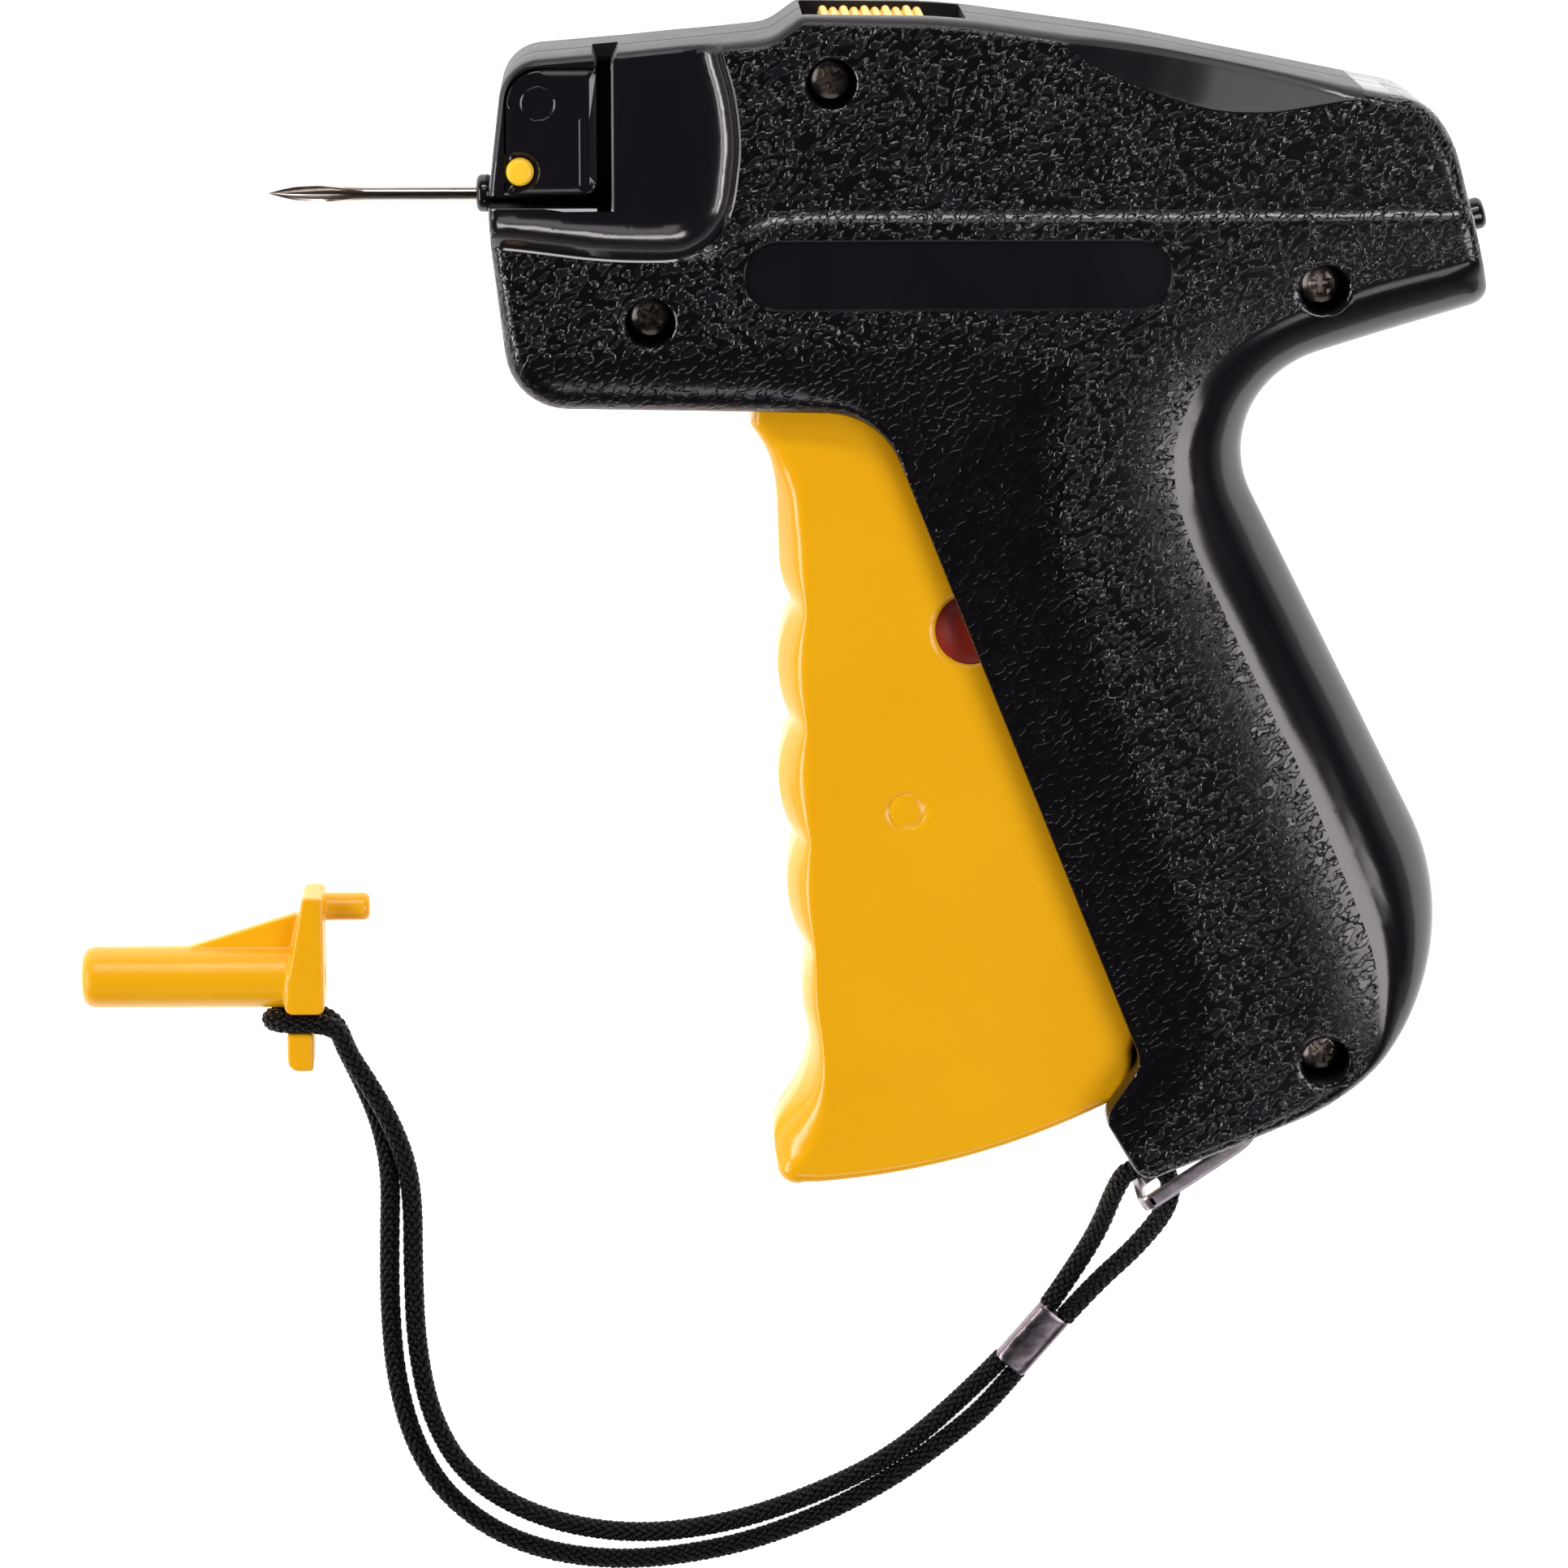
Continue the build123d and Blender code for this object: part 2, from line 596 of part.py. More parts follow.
# ---------------------------------------------------------------- feed wheel and pawl
wheel_z = (mid - feed_wheel_width / 2, mid + feed_wheel_width / 2)
wheel = upright(feed_wheel_at, feed_wheel_radius, *wheel_z)
for i in range(feed_wheel_teeth):
    angle = 360 / feed_wheel_teeth * (i + 0.5)
    gap_at = turned((feed_wheel_at[0] + feed_wheel_radius + 0.15, feed_wheel_at[1]), feed_wheel_at, angle)
    wheel -= upright(gap_at, feed_tooth_depth * 0.55, wheel_z[0] - 1, wheel_z[1] + 1)
wheel -= upright(feed_wheel_at, feed_axle_radius + turn_gap, 0, housing_width)
parts["feed_wheel"] = wheel
axle_reach = (wall + 0.2, field_z - wall - 0.2)
parts["feed_wheel_axle"] = upright(feed_wheel_at, feed_axle_radius, *axle_reach)

pawl_tip = turned((feed_wheel_at[0] + feed_wheel_radius + 0.5, feed_wheel_at[1]), feed_wheel_at, 15)
pawl_z = (mid - pawl_thickness / 2, mid + pawl_thickness / 2)
pawl = raised(arm(pawl_pivot_at, pawl_tip, 1.9, 0.35), *pawl_z)
pawl += upright(pawl_pivot_at, 2.3, *pawl_z)
pawl -= upright(pawl_pivot_at, feed_axle_radius + turn_gap, 0, housing_width)
parts["feed_pawl"] = pawl
pawl_pin_top = housing_width - wall - 0.2
parts["feed_pawl_pin"] = upright(pawl_pivot_at, feed_axle_radius, wall + 0.2, pawl_pin_top)

# ---------------------------------------------------------------- top slider
slider_x = (slider_start_x, slider_start_x + slider_length)
slider_z = (mid - slider_width / 2, mid + slider_width / 2)
slider = block(slider_x, (slider_pocket_floor + 0.1, slider_top - slider_rib_height), slider_z)
rib_pitch = slider_length / slider_ribs
rib_radius = rib_pitch * 0.42
for i in range(slider_ribs):
    rib_x = slider_x[0] + rib_pitch * (i + 0.5)
    slider += Location((rib_x, slider_top - rib_radius, mid)) * Cylinder(rib_radius, slider_width - 0.4)
slider += block(
    (slider_neck_x - slider_neck_half, slider_neck_x + slider_neck_half),
    (slider_pocket_floor - wall - 0.4, slider_pocket_floor + 0.4),
    (mid - slider_neck_half, mid + slider_neck_half),
)
slider += block(
    (slider_neck_x - slider_plate_half, slider_neck_x + slider_plate_half),
    (slider_pocket_floor - wall - 0.1 - slider_plate_thickness, slider_pocket_floor - wall - 0.1),
    (mid - 5.0, mid + 5.0),
)
parts["top_slider"] = slider

# ---------------------------------------------------------------- rear button
rear_button = Cylinder(rear_button_radius, rear_button_proud - rear_flange_in)
rear_button = fillet(rear_button.edges().group_by(Axis.Z)[-1], 0.8)
rear_button += Location((0, 0, -(rear_button_proud - rear_flange_in) / 2 + rear_flange_thickness / 2)) * Cylinder(
    rear_button_radius + 1.0, rear_flange_thickness
)
rear_frame = Location((*rear_button_at, mid), (0, 0, rear_tilt))
rear_middle = (rear_button_proud + rear_flange_in) / 2
parts["rear_button"] = rear_frame * Location((rear_middle, 0, 0), (0, 90, 0)) * rear_button
rear_wire = 0.5
rear_gap = rear_wire / 2 + 0.05
button_spring = coil(1.9, rear_wire, rear_spring_length - 2 * rear_gap, 5)
rear_spring_at = rear_frame * Location((rear_flange_in - rear_spring_length + rear_gap, 0, 0), (0, 90, 0))
parts["rear_button_spring"] = rear_spring_at * button_spring

# ---------------------------------------------------------------- screws
screws = []
for at in screw_places:
    screw = upright(at, screw_head_radius, screw_seat_z, screw_seat_z + screw_head_height)
    screw = fillet(screw.edges().group_by(Axis.Z)[-1], 0.6)
    screw += upright(at, screw_shank_radius, 4.0, screw_seat_z + 0.5)
    for turn in (20, 110):
        recess = Location((*at, screw_seat_z + screw_head_height), (0, 0, turn)) * Box(2.8, 0.7, 2.0)
        screw -= recess
    screws.append(screw)
parts["housing_screws"] = Compound(children=[s.solid() for s in screws])

# ---------------------------------------------------------------- bail, ferrule and cord
parts["lanyard_bail"] = bail_strip(0)

ferrule_mid = ((ferrule_upper[0] + ferrule_lower[0]) / 2, (ferrule_upper[1] + ferrule_lower[1]) / 2)
ferrule_dx = ferrule_upper[0] - ferrule_lower[0]
ferrule_dy = ferrule_upper[1] - ferrule_lower[1]
ferrule_length = (ferrule_dx ** 2 + ferrule_dy ** 2) ** 0.5
ferrule_turn = degrees(atan2(ferrule_dy, ferrule_dx))
ferrule_block = fillet(Box(ferrule_length, ferrule_width, ferrule_height).edges().filter_by(Axis.X), 1.3)
parts["cord_ferrule"] = Location((*ferrule_mid, ferrule_height / 2), (0, 0, ferrule_turn)) * ferrule_block

# The long loop: inner strand, once round the neck of the needle cap, outer strand.
cord_z = cord_diameter / 2
long_loop_points = [
    (17.5, -104.3, cord_z), (13.4, -108.7, cord_z), (3.7, -117.6, cord_z), (-6.6, -123.0, cord_z),
    (-18.9, -127.4, cord_z), (-32.1, -129.0, cord_z), (-44.6, -126.6, cord_z), (-54.2, -120.8, cord_z),
    (-59.0, -112.6, cord_z), (-61.0, -102.2, cord_z), (-61.3, -90.8, cord_z), (-61.2, -81.5, cord_z),
    (-62.1, -75.1, 2.9), (-64.3, -69.0, 4.1), (-67.2, -63.8, 4.4), (-69.5, -60.0, 4.9),
    (-70.6, -55.6, 7.1), (-79.3, -55.6, 7.1), (-79.3, -55.6, 1.7), (-71.6, -55.6, 1.5),
    (-69.6, -61.0, cord_z), (-67.2, -66.0, cord_z), (-65.2, -71.4, cord_z), (-64.1, -78.0, cord_z),
    (-64.4, -86.8, cord_z), (-64.5, -96.6, cord_z), (-63.8, -106.7, cord_z), (-61.3, -116.3, cord_z),
    (-56.4, -124.2, cord_z), (-47.2, -130.4, cord_z), (-34.3, -132.8, cord_z), (-20.0, -131.1, cord_z),
    (-8.0, -127.0, cord_z), (3.0, -121.2, cord_z), (12.9, -113.5, cord_z), (16.9, -109.4, cord_z),
    (19.6, -106.0, cord_z),
]
parts["lanyard_cord"] = tube_along(long_loop_points, cord_diameter, "lanyard_cord")

# The short loop: from the ferrule through the bail and back.
short_loop_points = [
    (24.0, -96.5, 1.6), (26.6, -92.4, 2.2), (30.2, -85.0, 5.4), (31.8, -78.2, 10.2), (33.4, -74.2, 13.2),
    (38.6, -73.9, 14.2), (39.2, -79.2, 12.6), (35.4, -86.6, 7.2), (29.8, -93.6, 2.6), (26.2, -98.2, 1.6),
]
parts["lanyard_eye"] = tube_along(short_loop_points, cord_diameter, "lanyard_eye")

# ---------------------------------------------------------------- needle cap
cap_tube_end_x = -75.0
cap = along_x(cap_tube_radius, cap_closed_x, cap_tube_end_x, cap_axis_y, cap_axis_z)
cap = fillet(cap.edges().group_by(Axis.X)[0], 1.6)
flange_z = (cap_axis_z - 4.4, cap_axis_z + 4.4)
flange_bottom = cap_neck_y + cap_neck_height / 2
flange = raised(
    outline([
        (-77.5, flange_bottom, 1.0), (-77.0, -50.0, 10.0), (-74.9, -38.3, 0.5),
        (cap_mouth_x, -38.3, 0.5), (cap_mouth_x, flange_bottom, 0.8),
    ]),
    *flange_z,
)
cap += flange
gusset = make_face(Polyline((-90.9, -46.6), (-90.9, -46.0), (-76.0, -41.2), (-76.0, -46.6), close=True))
cap += raised(gusset, cap_axis_z - 1.0, cap_axis_z + 1.0)
cap_pin = along_x(cap_pin_radius, cap_mouth_x - 1.0, cap_pin_end_x, cap_pin_y, cap_axis_z)
cap += fillet(cap_pin.edges().group_by(Axis.X)[-1], 0.8)
neck_x = (-77.2, -77.2 + cap_neck_width)
neck = block(
    neck_x,
    (cap_neck_y - cap_neck_height / 2 - 0.5, flange_bottom + 0.5),
    (cap_axis_z - cap_neck_thickness / 2, cap_axis_z + cap_neck_thickness / 2),
)
cap += fillet(neck.edges().filter_by(Axis.Y), 0.5)
tab_y = (cap_neck_y - cap_neck_height / 2 - cap_tab_length, cap_neck_y - cap_neck_height / 2)
tab_z = (cap_axis_z - cap_tab_thickness / 2, cap_axis_z + cap_tab_thickness / 2)
tab_corners = [
    (neck_x[0], tab_y[0], 1.5), (neck_x[0], tab_y[1], 0.3), (neck_x[1], tab_y[1], 0.3), (neck_x[1], tab_y[0], 0.3),
]
cap += raised(outline(tab_corners), *tab_z)
cap -= along_x(cap_bore_radius, cap_mouth_x - cap_bore_length, cap_mouth_x + 1, cap_axis_y, cap_axis_z)
parts["needle_cap"] = cap

# ---------------------------------------------------------------- write the parts
os.makedirs("parts", exist_ok=True)
for name, shape in parts.items():
    export_step(shape, f"parts/{name}.step")
    box = shape.bounding_box()
    print(f"{name}: {len(shape.solids())} solid(s), volume {shape.volume:.1f}, z {box.min.Z:.2f} to {box.max.Z:.2f}")
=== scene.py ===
from math import ceil, cos, hypot, pi, radians, sin, tan

import bmesh
import bpy
import numpy as np
from mathutils import Matrix, Vector
from mathutils.geometry import delaunay_2d_cdt


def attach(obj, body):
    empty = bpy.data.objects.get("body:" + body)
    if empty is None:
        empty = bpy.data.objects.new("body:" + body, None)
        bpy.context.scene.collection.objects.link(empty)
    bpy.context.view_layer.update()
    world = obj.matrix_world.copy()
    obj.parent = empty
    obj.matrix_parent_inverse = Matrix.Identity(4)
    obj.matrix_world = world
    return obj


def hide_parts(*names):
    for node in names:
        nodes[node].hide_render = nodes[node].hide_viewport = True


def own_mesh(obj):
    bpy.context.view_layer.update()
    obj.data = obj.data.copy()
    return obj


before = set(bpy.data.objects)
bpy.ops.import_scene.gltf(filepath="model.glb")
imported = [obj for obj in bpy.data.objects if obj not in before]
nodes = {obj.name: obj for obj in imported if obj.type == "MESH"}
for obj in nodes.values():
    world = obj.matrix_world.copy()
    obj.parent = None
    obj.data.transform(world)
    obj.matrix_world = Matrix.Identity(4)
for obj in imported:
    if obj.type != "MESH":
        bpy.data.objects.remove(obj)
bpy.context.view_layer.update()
mm = 0.001  # meshes are drawn in millimetres and brought to metres when they are finished


# A colour as it is read off a swatch, made linear for the shader
def colour(code):
    parts = [int(code[i:i + 2], 16) / 255 for i in (1, 3, 5)]
    return [p / 12.92 if p <= 0.04045 else ((p + 0.055) / 1.055) ** 2.4 for p in parts] + [1.0]


def addNode(tree, kind, values=None, **settings):
    node = tree.nodes.new(kind)
    for name, value in settings.items():
        setattr(node, name, value)
    for socket, value in (values or {}).items():
        if isinstance(value, bpy.types.NodeSocket):
            tree.links.new(value, node.inputs[socket])
        else:
            node.inputs[socket].default_value = value
    return node


def addObject(name, data):
    thing = bpy.data.objects.new(name, data)
    bpy.context.collection.objects.link(thing)
    return thing


def meshObject(name, points, faces):
    mesh = bpy.data.meshes.new(name)
    mesh.from_pydata([tuple(p) for p in points], [], faces)
    mesh.update()
    return addObject(name, mesh)


# One output of a new node, where the node itself isn't wanted again
def output(tree, kind, values=None, which=0, **settings):
    return addNode(tree, kind, values, **settings).outputs[which]


def calc(tree, operation, *values, kind="ShaderNodeMath"):
    return output(tree, kind, dict(enumerate(values)), operation=operation)


def mapped(tree, amount, low, high, bottom=0.0, top=1.0, **settings):
    values = {"Value": amount, "From Min": low, "From Max": high, "To Min": bottom, "To Max": top}
    return output(tree, "ShaderNodeMapRange", values, **settings)


# ---- camera, floor and light
camera = {
    "place": (-30.58, 148.56, 771.80),
    "right": (0.99970, 0.0, 0.02451),
    "up": (0.00538, 0.97558, -0.21957),
    "forward": (0.02392, -0.21964, -0.97529),
    "lens": 137.89,
    "sensor": 36.0,
}
lamps = {  # place in mm, aimed at the origin; size across and along the tilt in mm; watts
    "topStrip": ((0, 800, 620), (760, 140), 4.2),
    "topFill": ((20, 600, 810), (560, 240), 1.0),
    "rightSoftbox": ((560, -130, 800), (360, 520), 3.9),
    "lowSoftbox": ((160, -640, 760), (500, 200), 0.9),
    "leftStrip": ((-860, -50, 430), (940, 90), 5.0),
    "leftEdge": ((-790, -50, 560), (940, 40), 2.0),
}
lampTint = (1.0, 0.94, 0.975)
table = {"size": 6000.0, "sunk": 0.1, "rough": 0.9, "glow": 0.9}
studio = {"horizon": 0.6, "zenith": 0.02, "fade": 0.42}


def makeCamera():
    data = bpy.data.cameras.new("camera")
    data.lens, data.sensor_width = camera["lens"], camera["sensor"]
    data.clip_start, data.clip_end = 0.05, 20.0
    thing = addObject("camera", data)
    turn = Matrix((camera["right"], camera["up"], [-f for f in camera["forward"]])).transposed()
    thing.matrix_world = Matrix.Translation(Vector(camera["place"]) * mm) @ turn.to_4x4()
    bpy.context.scene.camera = thing


def makeLamps():
    for name, (place, size, watts) in lamps.items():
        data = bpy.data.lights.new(name, "AREA")
        data.shape = "RECTANGLE"
        data.size, data.size_y = size[0] * mm, size[1] * mm
        data.energy, data.color = watts, lampTint
        thing, spot = addObject(name, data), Vector(place) * mm
        thing.location = spot
        thing.rotation_euler = (-spot).to_track_quat("-Z", "Y").to_euler()
    world = bpy.data.worlds.new("studio")
    bpy.context.scene.world = world
    world.use_nodes = True
    tree = world.node_tree  # a white cyclorama: bright at the horizon, dark overhead
    sky = output(tree, "ShaderNodeTexCoord", which="Generated")
    lift = output(tree, "ShaderNodeSeparateXYZ", {0: sky}, "Z")
    glow = mapped(tree, lift, 0.0, studio["fade"], studio["horizon"], studio["zenith"],
                  interpolation_type="SMOOTHSTEP")
    backdrop = tree.nodes["Background"].inputs
    backdrop["Color"].default_value = (*lampTint, 1.0)
    tree.links.new(glow, backdrop["Strength"])
    bpy.context.scene.view_settings.view_transform = "Standard"


def makeTable():
    half, low = table["size"] * mm / 2, -table["sunk"] * mm
    corners = [(x * half, y * half, low) for x, y in ((-1, -1), (1, -1), (1, 1), (-1, 1))]
    board = meshObject("lightTable", corners, [(0, 1, 2, 3)])
    opal = bpy.data.materials.new("opal acrylic")
    opal.use_nodes = True
    shader = opal.node_tree.nodes["Principled BSDF"].inputs
    shader["Base Color"].default_value = shader["Emission Color"].default_value = (1, 1, 1, 1)
    shader["Roughness"].default_value = table["rough"]
    shader["Emission Strength"].default_value = table["glow"]
    board.data.materials.append(opal)


makeCamera()
makeLamps()
makeTable()
print("camera, lamps and light table are up")


# ---- finishes
# Every finish starts here: its own shader, and the piece's object coordinates for its patterns
def startFinish(name, base, rough, metal=0.0, ior=1.5):
    finish = bpy.data.materials.new(name)
    finish.use_nodes = True
    tree = finish.node_tree
    shader = tree.nodes["Principled BSDF"].inputs
    shader["Base Color"].default_value = colour(base)
    shader["Roughness"].default_value = rough
    shader["Metallic"].default_value = metal
    shader["IOR"].default_value = ior
    return finish, tree, shader, output(tree, "ShaderNodeTexCoord", which="Object")


def noise(tree, place, size, detail=2.0, rough=0.5, twist=0.0, stretch=None):
    if stretch:  # a pattern drawn out along one direction
        place = output(tree, "ShaderNodeMapping", {"Vector": place, "Scale": stretch})
    values = {"Vector": place, "Scale": 1 / (size * mm), "Detail": detail, "Roughness": rough,
              "Distortion": twist}
    return output(tree, "ShaderNodeTexNoise", values, "Fac")


# Colour, gloss and bumps follow a pattern each: (pattern, dark, light), (pattern, low, high), (pattern, mm)
def addWear(tree, shader, shade, rough, bump):
    colours = {0: shade[0], 6: colour(shade[1]), 7: colour(shade[2])}
    relief = {"Height": bump[0], "Distance": bump[1] * mm, "Strength": 1.0}
    tree.links.new(output(tree, "ShaderNodeMix", colours, 2, data_type="RGBA"), shader["Base Color"])
    tree.links.new(mapped(tree, rough[0], 0.0, 1.0, rough[1], rough[2]), shader["Roughness"])
    tree.links.new(output(tree, "ShaderNodeBump", relief), shader["Normal"])


# The mould grain: its slant in degrees, sizes in mm, and the band of the pattern that stands up
grain = {"slant": 36, "stretch": (1.35, 0.8, 1.0), "size": 0.84, "band": (0.45, 0.62), "patches": 7.0,
         "patchBand": (0.35, 0.6), "least": 0.6, "fine": 0.5, "fineShare": 0.06, "depth": 0.19}


# Spark-eroded mould grain: low worm-like ridges half a millimetre wide, mostly slanting, on black ABS
def grainedAbs():
    finish, tree, shader, place = startFinish("grained black ABS", "#17161a", 0.3, ior=1.52)
    slant = {"Vector": place, "Rotation": (0, 0, radians(grain["slant"])), "Scale": grain["stretch"]}
    slanted = output(tree, "ShaderNodeMapping", slant, vector_type="TEXTURE")
    worms = noise(tree, slanted, grain["size"], 0.4, 0.4, 0.25)
    raised = mapped(tree, worms, *grain["band"], interpolation_type="SMOOTHSTEP")
    patchy = mapped(tree, noise(tree, place, grain["patches"], 1.0), *grain["patchBand"], grain["least"], 1.0)
    etched = output(tree, "ShaderNodeAttribute", which="Fac", attribute_name="grain")
    high = calc(tree, "MULTIPLY", raised, calc(tree, "MULTIPLY", patchy, etched))
    both = calc(tree, "MULTIPLY_ADD", noise(tree, place, grain["fine"], 1.0), grain["fineShare"], high)
    # the colour follows the relief: painted shade in the valleys and painted light on the ridges
    addWear(tree, shader, (high, "#09080a", "#1b1a1e"), (high, 0.18, 0.14), (both, grain["depth"]))
    return finish


# The edge band and deck, blasted a little duller than the polished faces
def satinAbs():
    finish, tree, shader, place = startFinish("satin black ABS", "#17161a", 0.42, ior=1.46)
    flow = noise(tree, place, 5.0, 3.0, 0.55, 0.3)
    fine = noise(tree, place, 0.6, 2.0)
    addWear(tree, shader, (flow, "#141317", "#1f1d22"), (flow, 0.36, 0.5), (fine, 0.02))
    return finish


# Polished mould face: black ABS with soft flow marks and a faint haze
def polishedAbs():
    finish, tree, shader, place = startFinish("polished black ABS", "#151418", 0.14, ior=1.52)
    flow = noise(tree, place, 9.0, 3.0, 0.55, 0.4, (1.0, 0.35, 1.0))
    haze = noise(tree, place, 2.6, 4.0, 0.6)
    addWear(tree, shader, (flow, "#0f0e11", "#17151a"), (flow, 0.09, 0.2), (haze, 0.006))
    return finish


def mouldedPlastic(name, base, dark, light, rough, scatter, bump=0.05):
    finish, tree, shader, place = startFinish(name, base, rough[0], ior=1.48)
    shader["Subsurface Weight"].default_value = scatter
    shader["Subsurface Radius"].default_value = (0.0016, 0.0008, 0.0002)
    shader["Subsurface Scale"].default_value = 1.0
    cloud, speck = noise(tree, place, 22.0, 3.0, 0.5), noise(tree, place, 1.6, 4.0, 0.6)
    addWear(tree, shader, (cloud, dark, light), (speck, *rough), (speck, bump))
    return finish


# Drawn or rolled metal: fine streaks along one direction and soft dents
def workedMetal(name, dark, light, rough, stretch, dent):
    finish, tree, shader, place = startFinish(name, light, rough[0], metal=1.0)
    streak = noise(tree, place, 1.2, 3.0, 0.6, 0.0, stretch)
    pit = noise(tree, place, 1.9, 2.0, 0.5, 0.3)
    addWear(tree, shader, (streak, dark, light), (streak, *rough), (pit, dent))
    return finish


# Braided polyester: matt black filaments
def braidedPolyester():
    finish, tree, shader, place = startFinish("braided polyester", "#0b0a0c", 0.5)
    shader["Specular IOR Level"].default_value = 0.17  # filaments shade each other
    thread = noise(tree, place, 0.16, 2.0, 0.6)
    addWear(tree, shader, (thread, "#020203", "#080709"), (thread, 0.22, 0.36), (thread, 0.06))
    return finish


finishes = {
    "grained": grainedAbs(),
    "polished": polishedAbs(),
    "satin": satinAbs(),
    "trigger": mouldedPlastic("orange ABS", "#ecaf0e", "#eaa70c", "#eeb614", (0.15, 0.26), 0.1, 0.015),
    # painted shade: the dim inside of the orange trigger, seen through its pocket, given as a red-brown colour
    "paintedShade": mouldedPlastic("red-brown painted shade", "#a41c12", "#86100f", "#bd3a1e", (0.35, 0.5), 0.0, 0.05),
    "slider": mouldedPlastic("yellow POM", "#fccb38", "#fac42e", "#fdd656", (0.3, 0.42), 0.1),
    "button": mouldedPlastic("signal yellow POM", "#fcca1c", "#fac216", "#fdd23a", (0.25, 0.38), 0.1),
    "cap": mouldedPlastic("amber polypropylene", "#ecae03", "#e9a602", "#eeb506", (0.26, 0.38), 0.12, 0.02),
    "white": mouldedPlastic("white POM", "#e6e2d6", "#dedacd", "#f0ede4", (0.35, 0.5), 0.1),
    "needle": workedMetal("nickel-plated steel", "#a59c93", "#ded8d0", (0.14, 0.3), (0.08, 1.0, 1.0), 0.01),
    "strip": workedMetal("rolled nickel silver", "#88838a", "#cbc6cb", (0.22, 0.4), (0.3, 1.0, 1.0), 0.05),
    "dark": workedMetal("blackened steel", "#5c5652", "#a39b94", (0.22, 0.4), (1.0, 1.0, 0.4), 0.05),
    "crimp": workedMetal("crimped nickel strip", "#4d464c", "#a29aa1", (0.2, 0.42), (0.5, 1.0, 1.0), 0.08),
    "screw": workedMetal("bright steel", "#9d968c", "#e2dcd2", (0.16, 0.34), (1.0, 1.0, 0.4), 0.04),
    "zinc": workedMetal("zinc-plated steel", "#8f9296", "#c4c6c8", (0.25, 0.45), (1.0, 1.0, 0.4), 0.03),
    "spring": workedMetal("spring wire", "#8b8d90", "#cfd0d2", (0.2, 0.35), (1.0, 1.0, 0.5), 0.01),
    "cord": braidedPolyester(),
}
print("finishes:", ", ".join(f.name for f in finishes.values()))


# ---- mesh helpers, all in millimetres until finishPiece
def faceOut(thing):
    mesh = bmesh.new()
    mesh.from_mesh(thing.data)
    bmesh.ops.recalc_face_normals(mesh, faces=mesh.faces)
    mesh.to_mesh(thing.data)
    mesh.free()


def meshOf(thing):  # the evaluated object as a plain mesh
    return bpy.data.meshes.new_from_object(thing.evaluated_get(bpy.context.evaluated_depsgraph_get()))


def bake(thing):
    mesh = meshOf(thing)
    thing.modifiers.clear()
    thing.data = mesh


def cut(thing, cutters, how="DIFFERENCE"):
    for cutter in cutters:
        boolean = thing.modifiers.new(cutter.name, "BOOLEAN")
        boolean.solver, boolean.operation, boolean.object = "MANIFOLD", how, cutter
    before = len(thing.data.vertices)
    bake(thing)
    for cutter in cutters:
        bpy.data.objects.remove(cutter)
    print(" ", thing.name, how.lower(), before, "->", len(thing.data.vertices), "points")


def turnOf(loop):  # 1 for a loop that runs anticlockwise, -1 for the other way
    return 1 if sum(a[0] * b[1] - b[0] * a[1] for a, b in zip(loop, [*loop[1:], loop[0]])) > 0 else -1


# Quads between rings of points that follow each other, all with the same count
def ringFaces(rings, count, first=0, closed=False):
    faces = []
    for k in range(rings if closed else rings - 1):
        a, b = first + k * count, first + (k + 1) % rings * count
        faces += [(a + i, a + (i + 1) % count, b + (i + 1) % count, b + i) for i in range(count)]
    return faces


def lofted(name, rings, closed=False):
    count, total = len(rings[0]), len(rings) * len(rings[0])
    faces = ringFaces(len(rings), count, 0, closed)
    if not closed:
        faces += [tuple(range(count))[::-1], tuple(range(total - count, total))]
    return meshObject(name, [p for ring in rings for p in ring], faces)


def prism(name, loop, low, high):
    count, turn = len(loop), turnOf(loop)
    points = [(x, y, z) for z in (low, high) for x, y in loop]
    faces = [tuple(range(count))[::-1], tuple(range(count, 2 * count)), *ringFaces(2, count)]
    return meshObject(name, points, [face[::turn] for face in faces])


# A solid that opens outwards over its last bit, for a small chamfer round a cut
def flared(name, loop, low, high, flare):
    count = len(loop)
    outer = [p[:2] for p in inwards([(*p, 0) for p in loop], -flare)]
    rings = [(loop, low), (loop, high - 0.55 * flare), (outer, high), (outer, high + 0.02)]
    faces = [tuple(range(count))[::-1], tuple(range(3 * count, 4 * count)), *ringFaces(4, count)]
    thing = meshObject(name, [(*p, z) for ring, z in rings for p in ring], faces)
    faceOut(thing)
    return thing


def slab(name, x, y, z):
    return prism(name, [(x[0], y[0]), (x[1], y[0]), (x[1], y[1]), (x[0], y[1])], *z)


# A turned shape: (distance along the axis, radius) pairs about the line from start along axis
def turnedShape(name, profile, start, axis, sides=48, tube=False):
    axis = Vector(axis).normalized()
    side = axis.orthogonal().normalized()
    other = axis.cross(side)
    turns = [2 * pi * i / sides for i in range(sides)]
    rings = [[Vector(start) + axis * along + (side * cos(a) + other * sin(a)) * radius for a in turns]
             for along, radius in profile]
    return lofted(name, rings, tube)


def post(name, at, radius, low, high, sides=48):
    return turnedShape(name, [(0, radius), (high - low, radius)], (*at, low), (0, 0, 1), sides)


def dress(thing, *names):
    thing.data.materials.clear()
    for name in names:
        thing.data.materials.append(finishes[name])


def finishPiece(thing, body, node, smooth, finish=None):
    if finish:
        dress(thing, finish)
        faceOut(thing)
    thing.data.transform(Matrix.Scale(mm, 4))
    thing.data.shade_smooth()
    thing.data.set_sharp_from_angle(angle=radians(smooth))
    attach(thing, body)
    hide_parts(node)
    print(" ", thing.name, len(thing.data.polygons), "faces")
    return thing


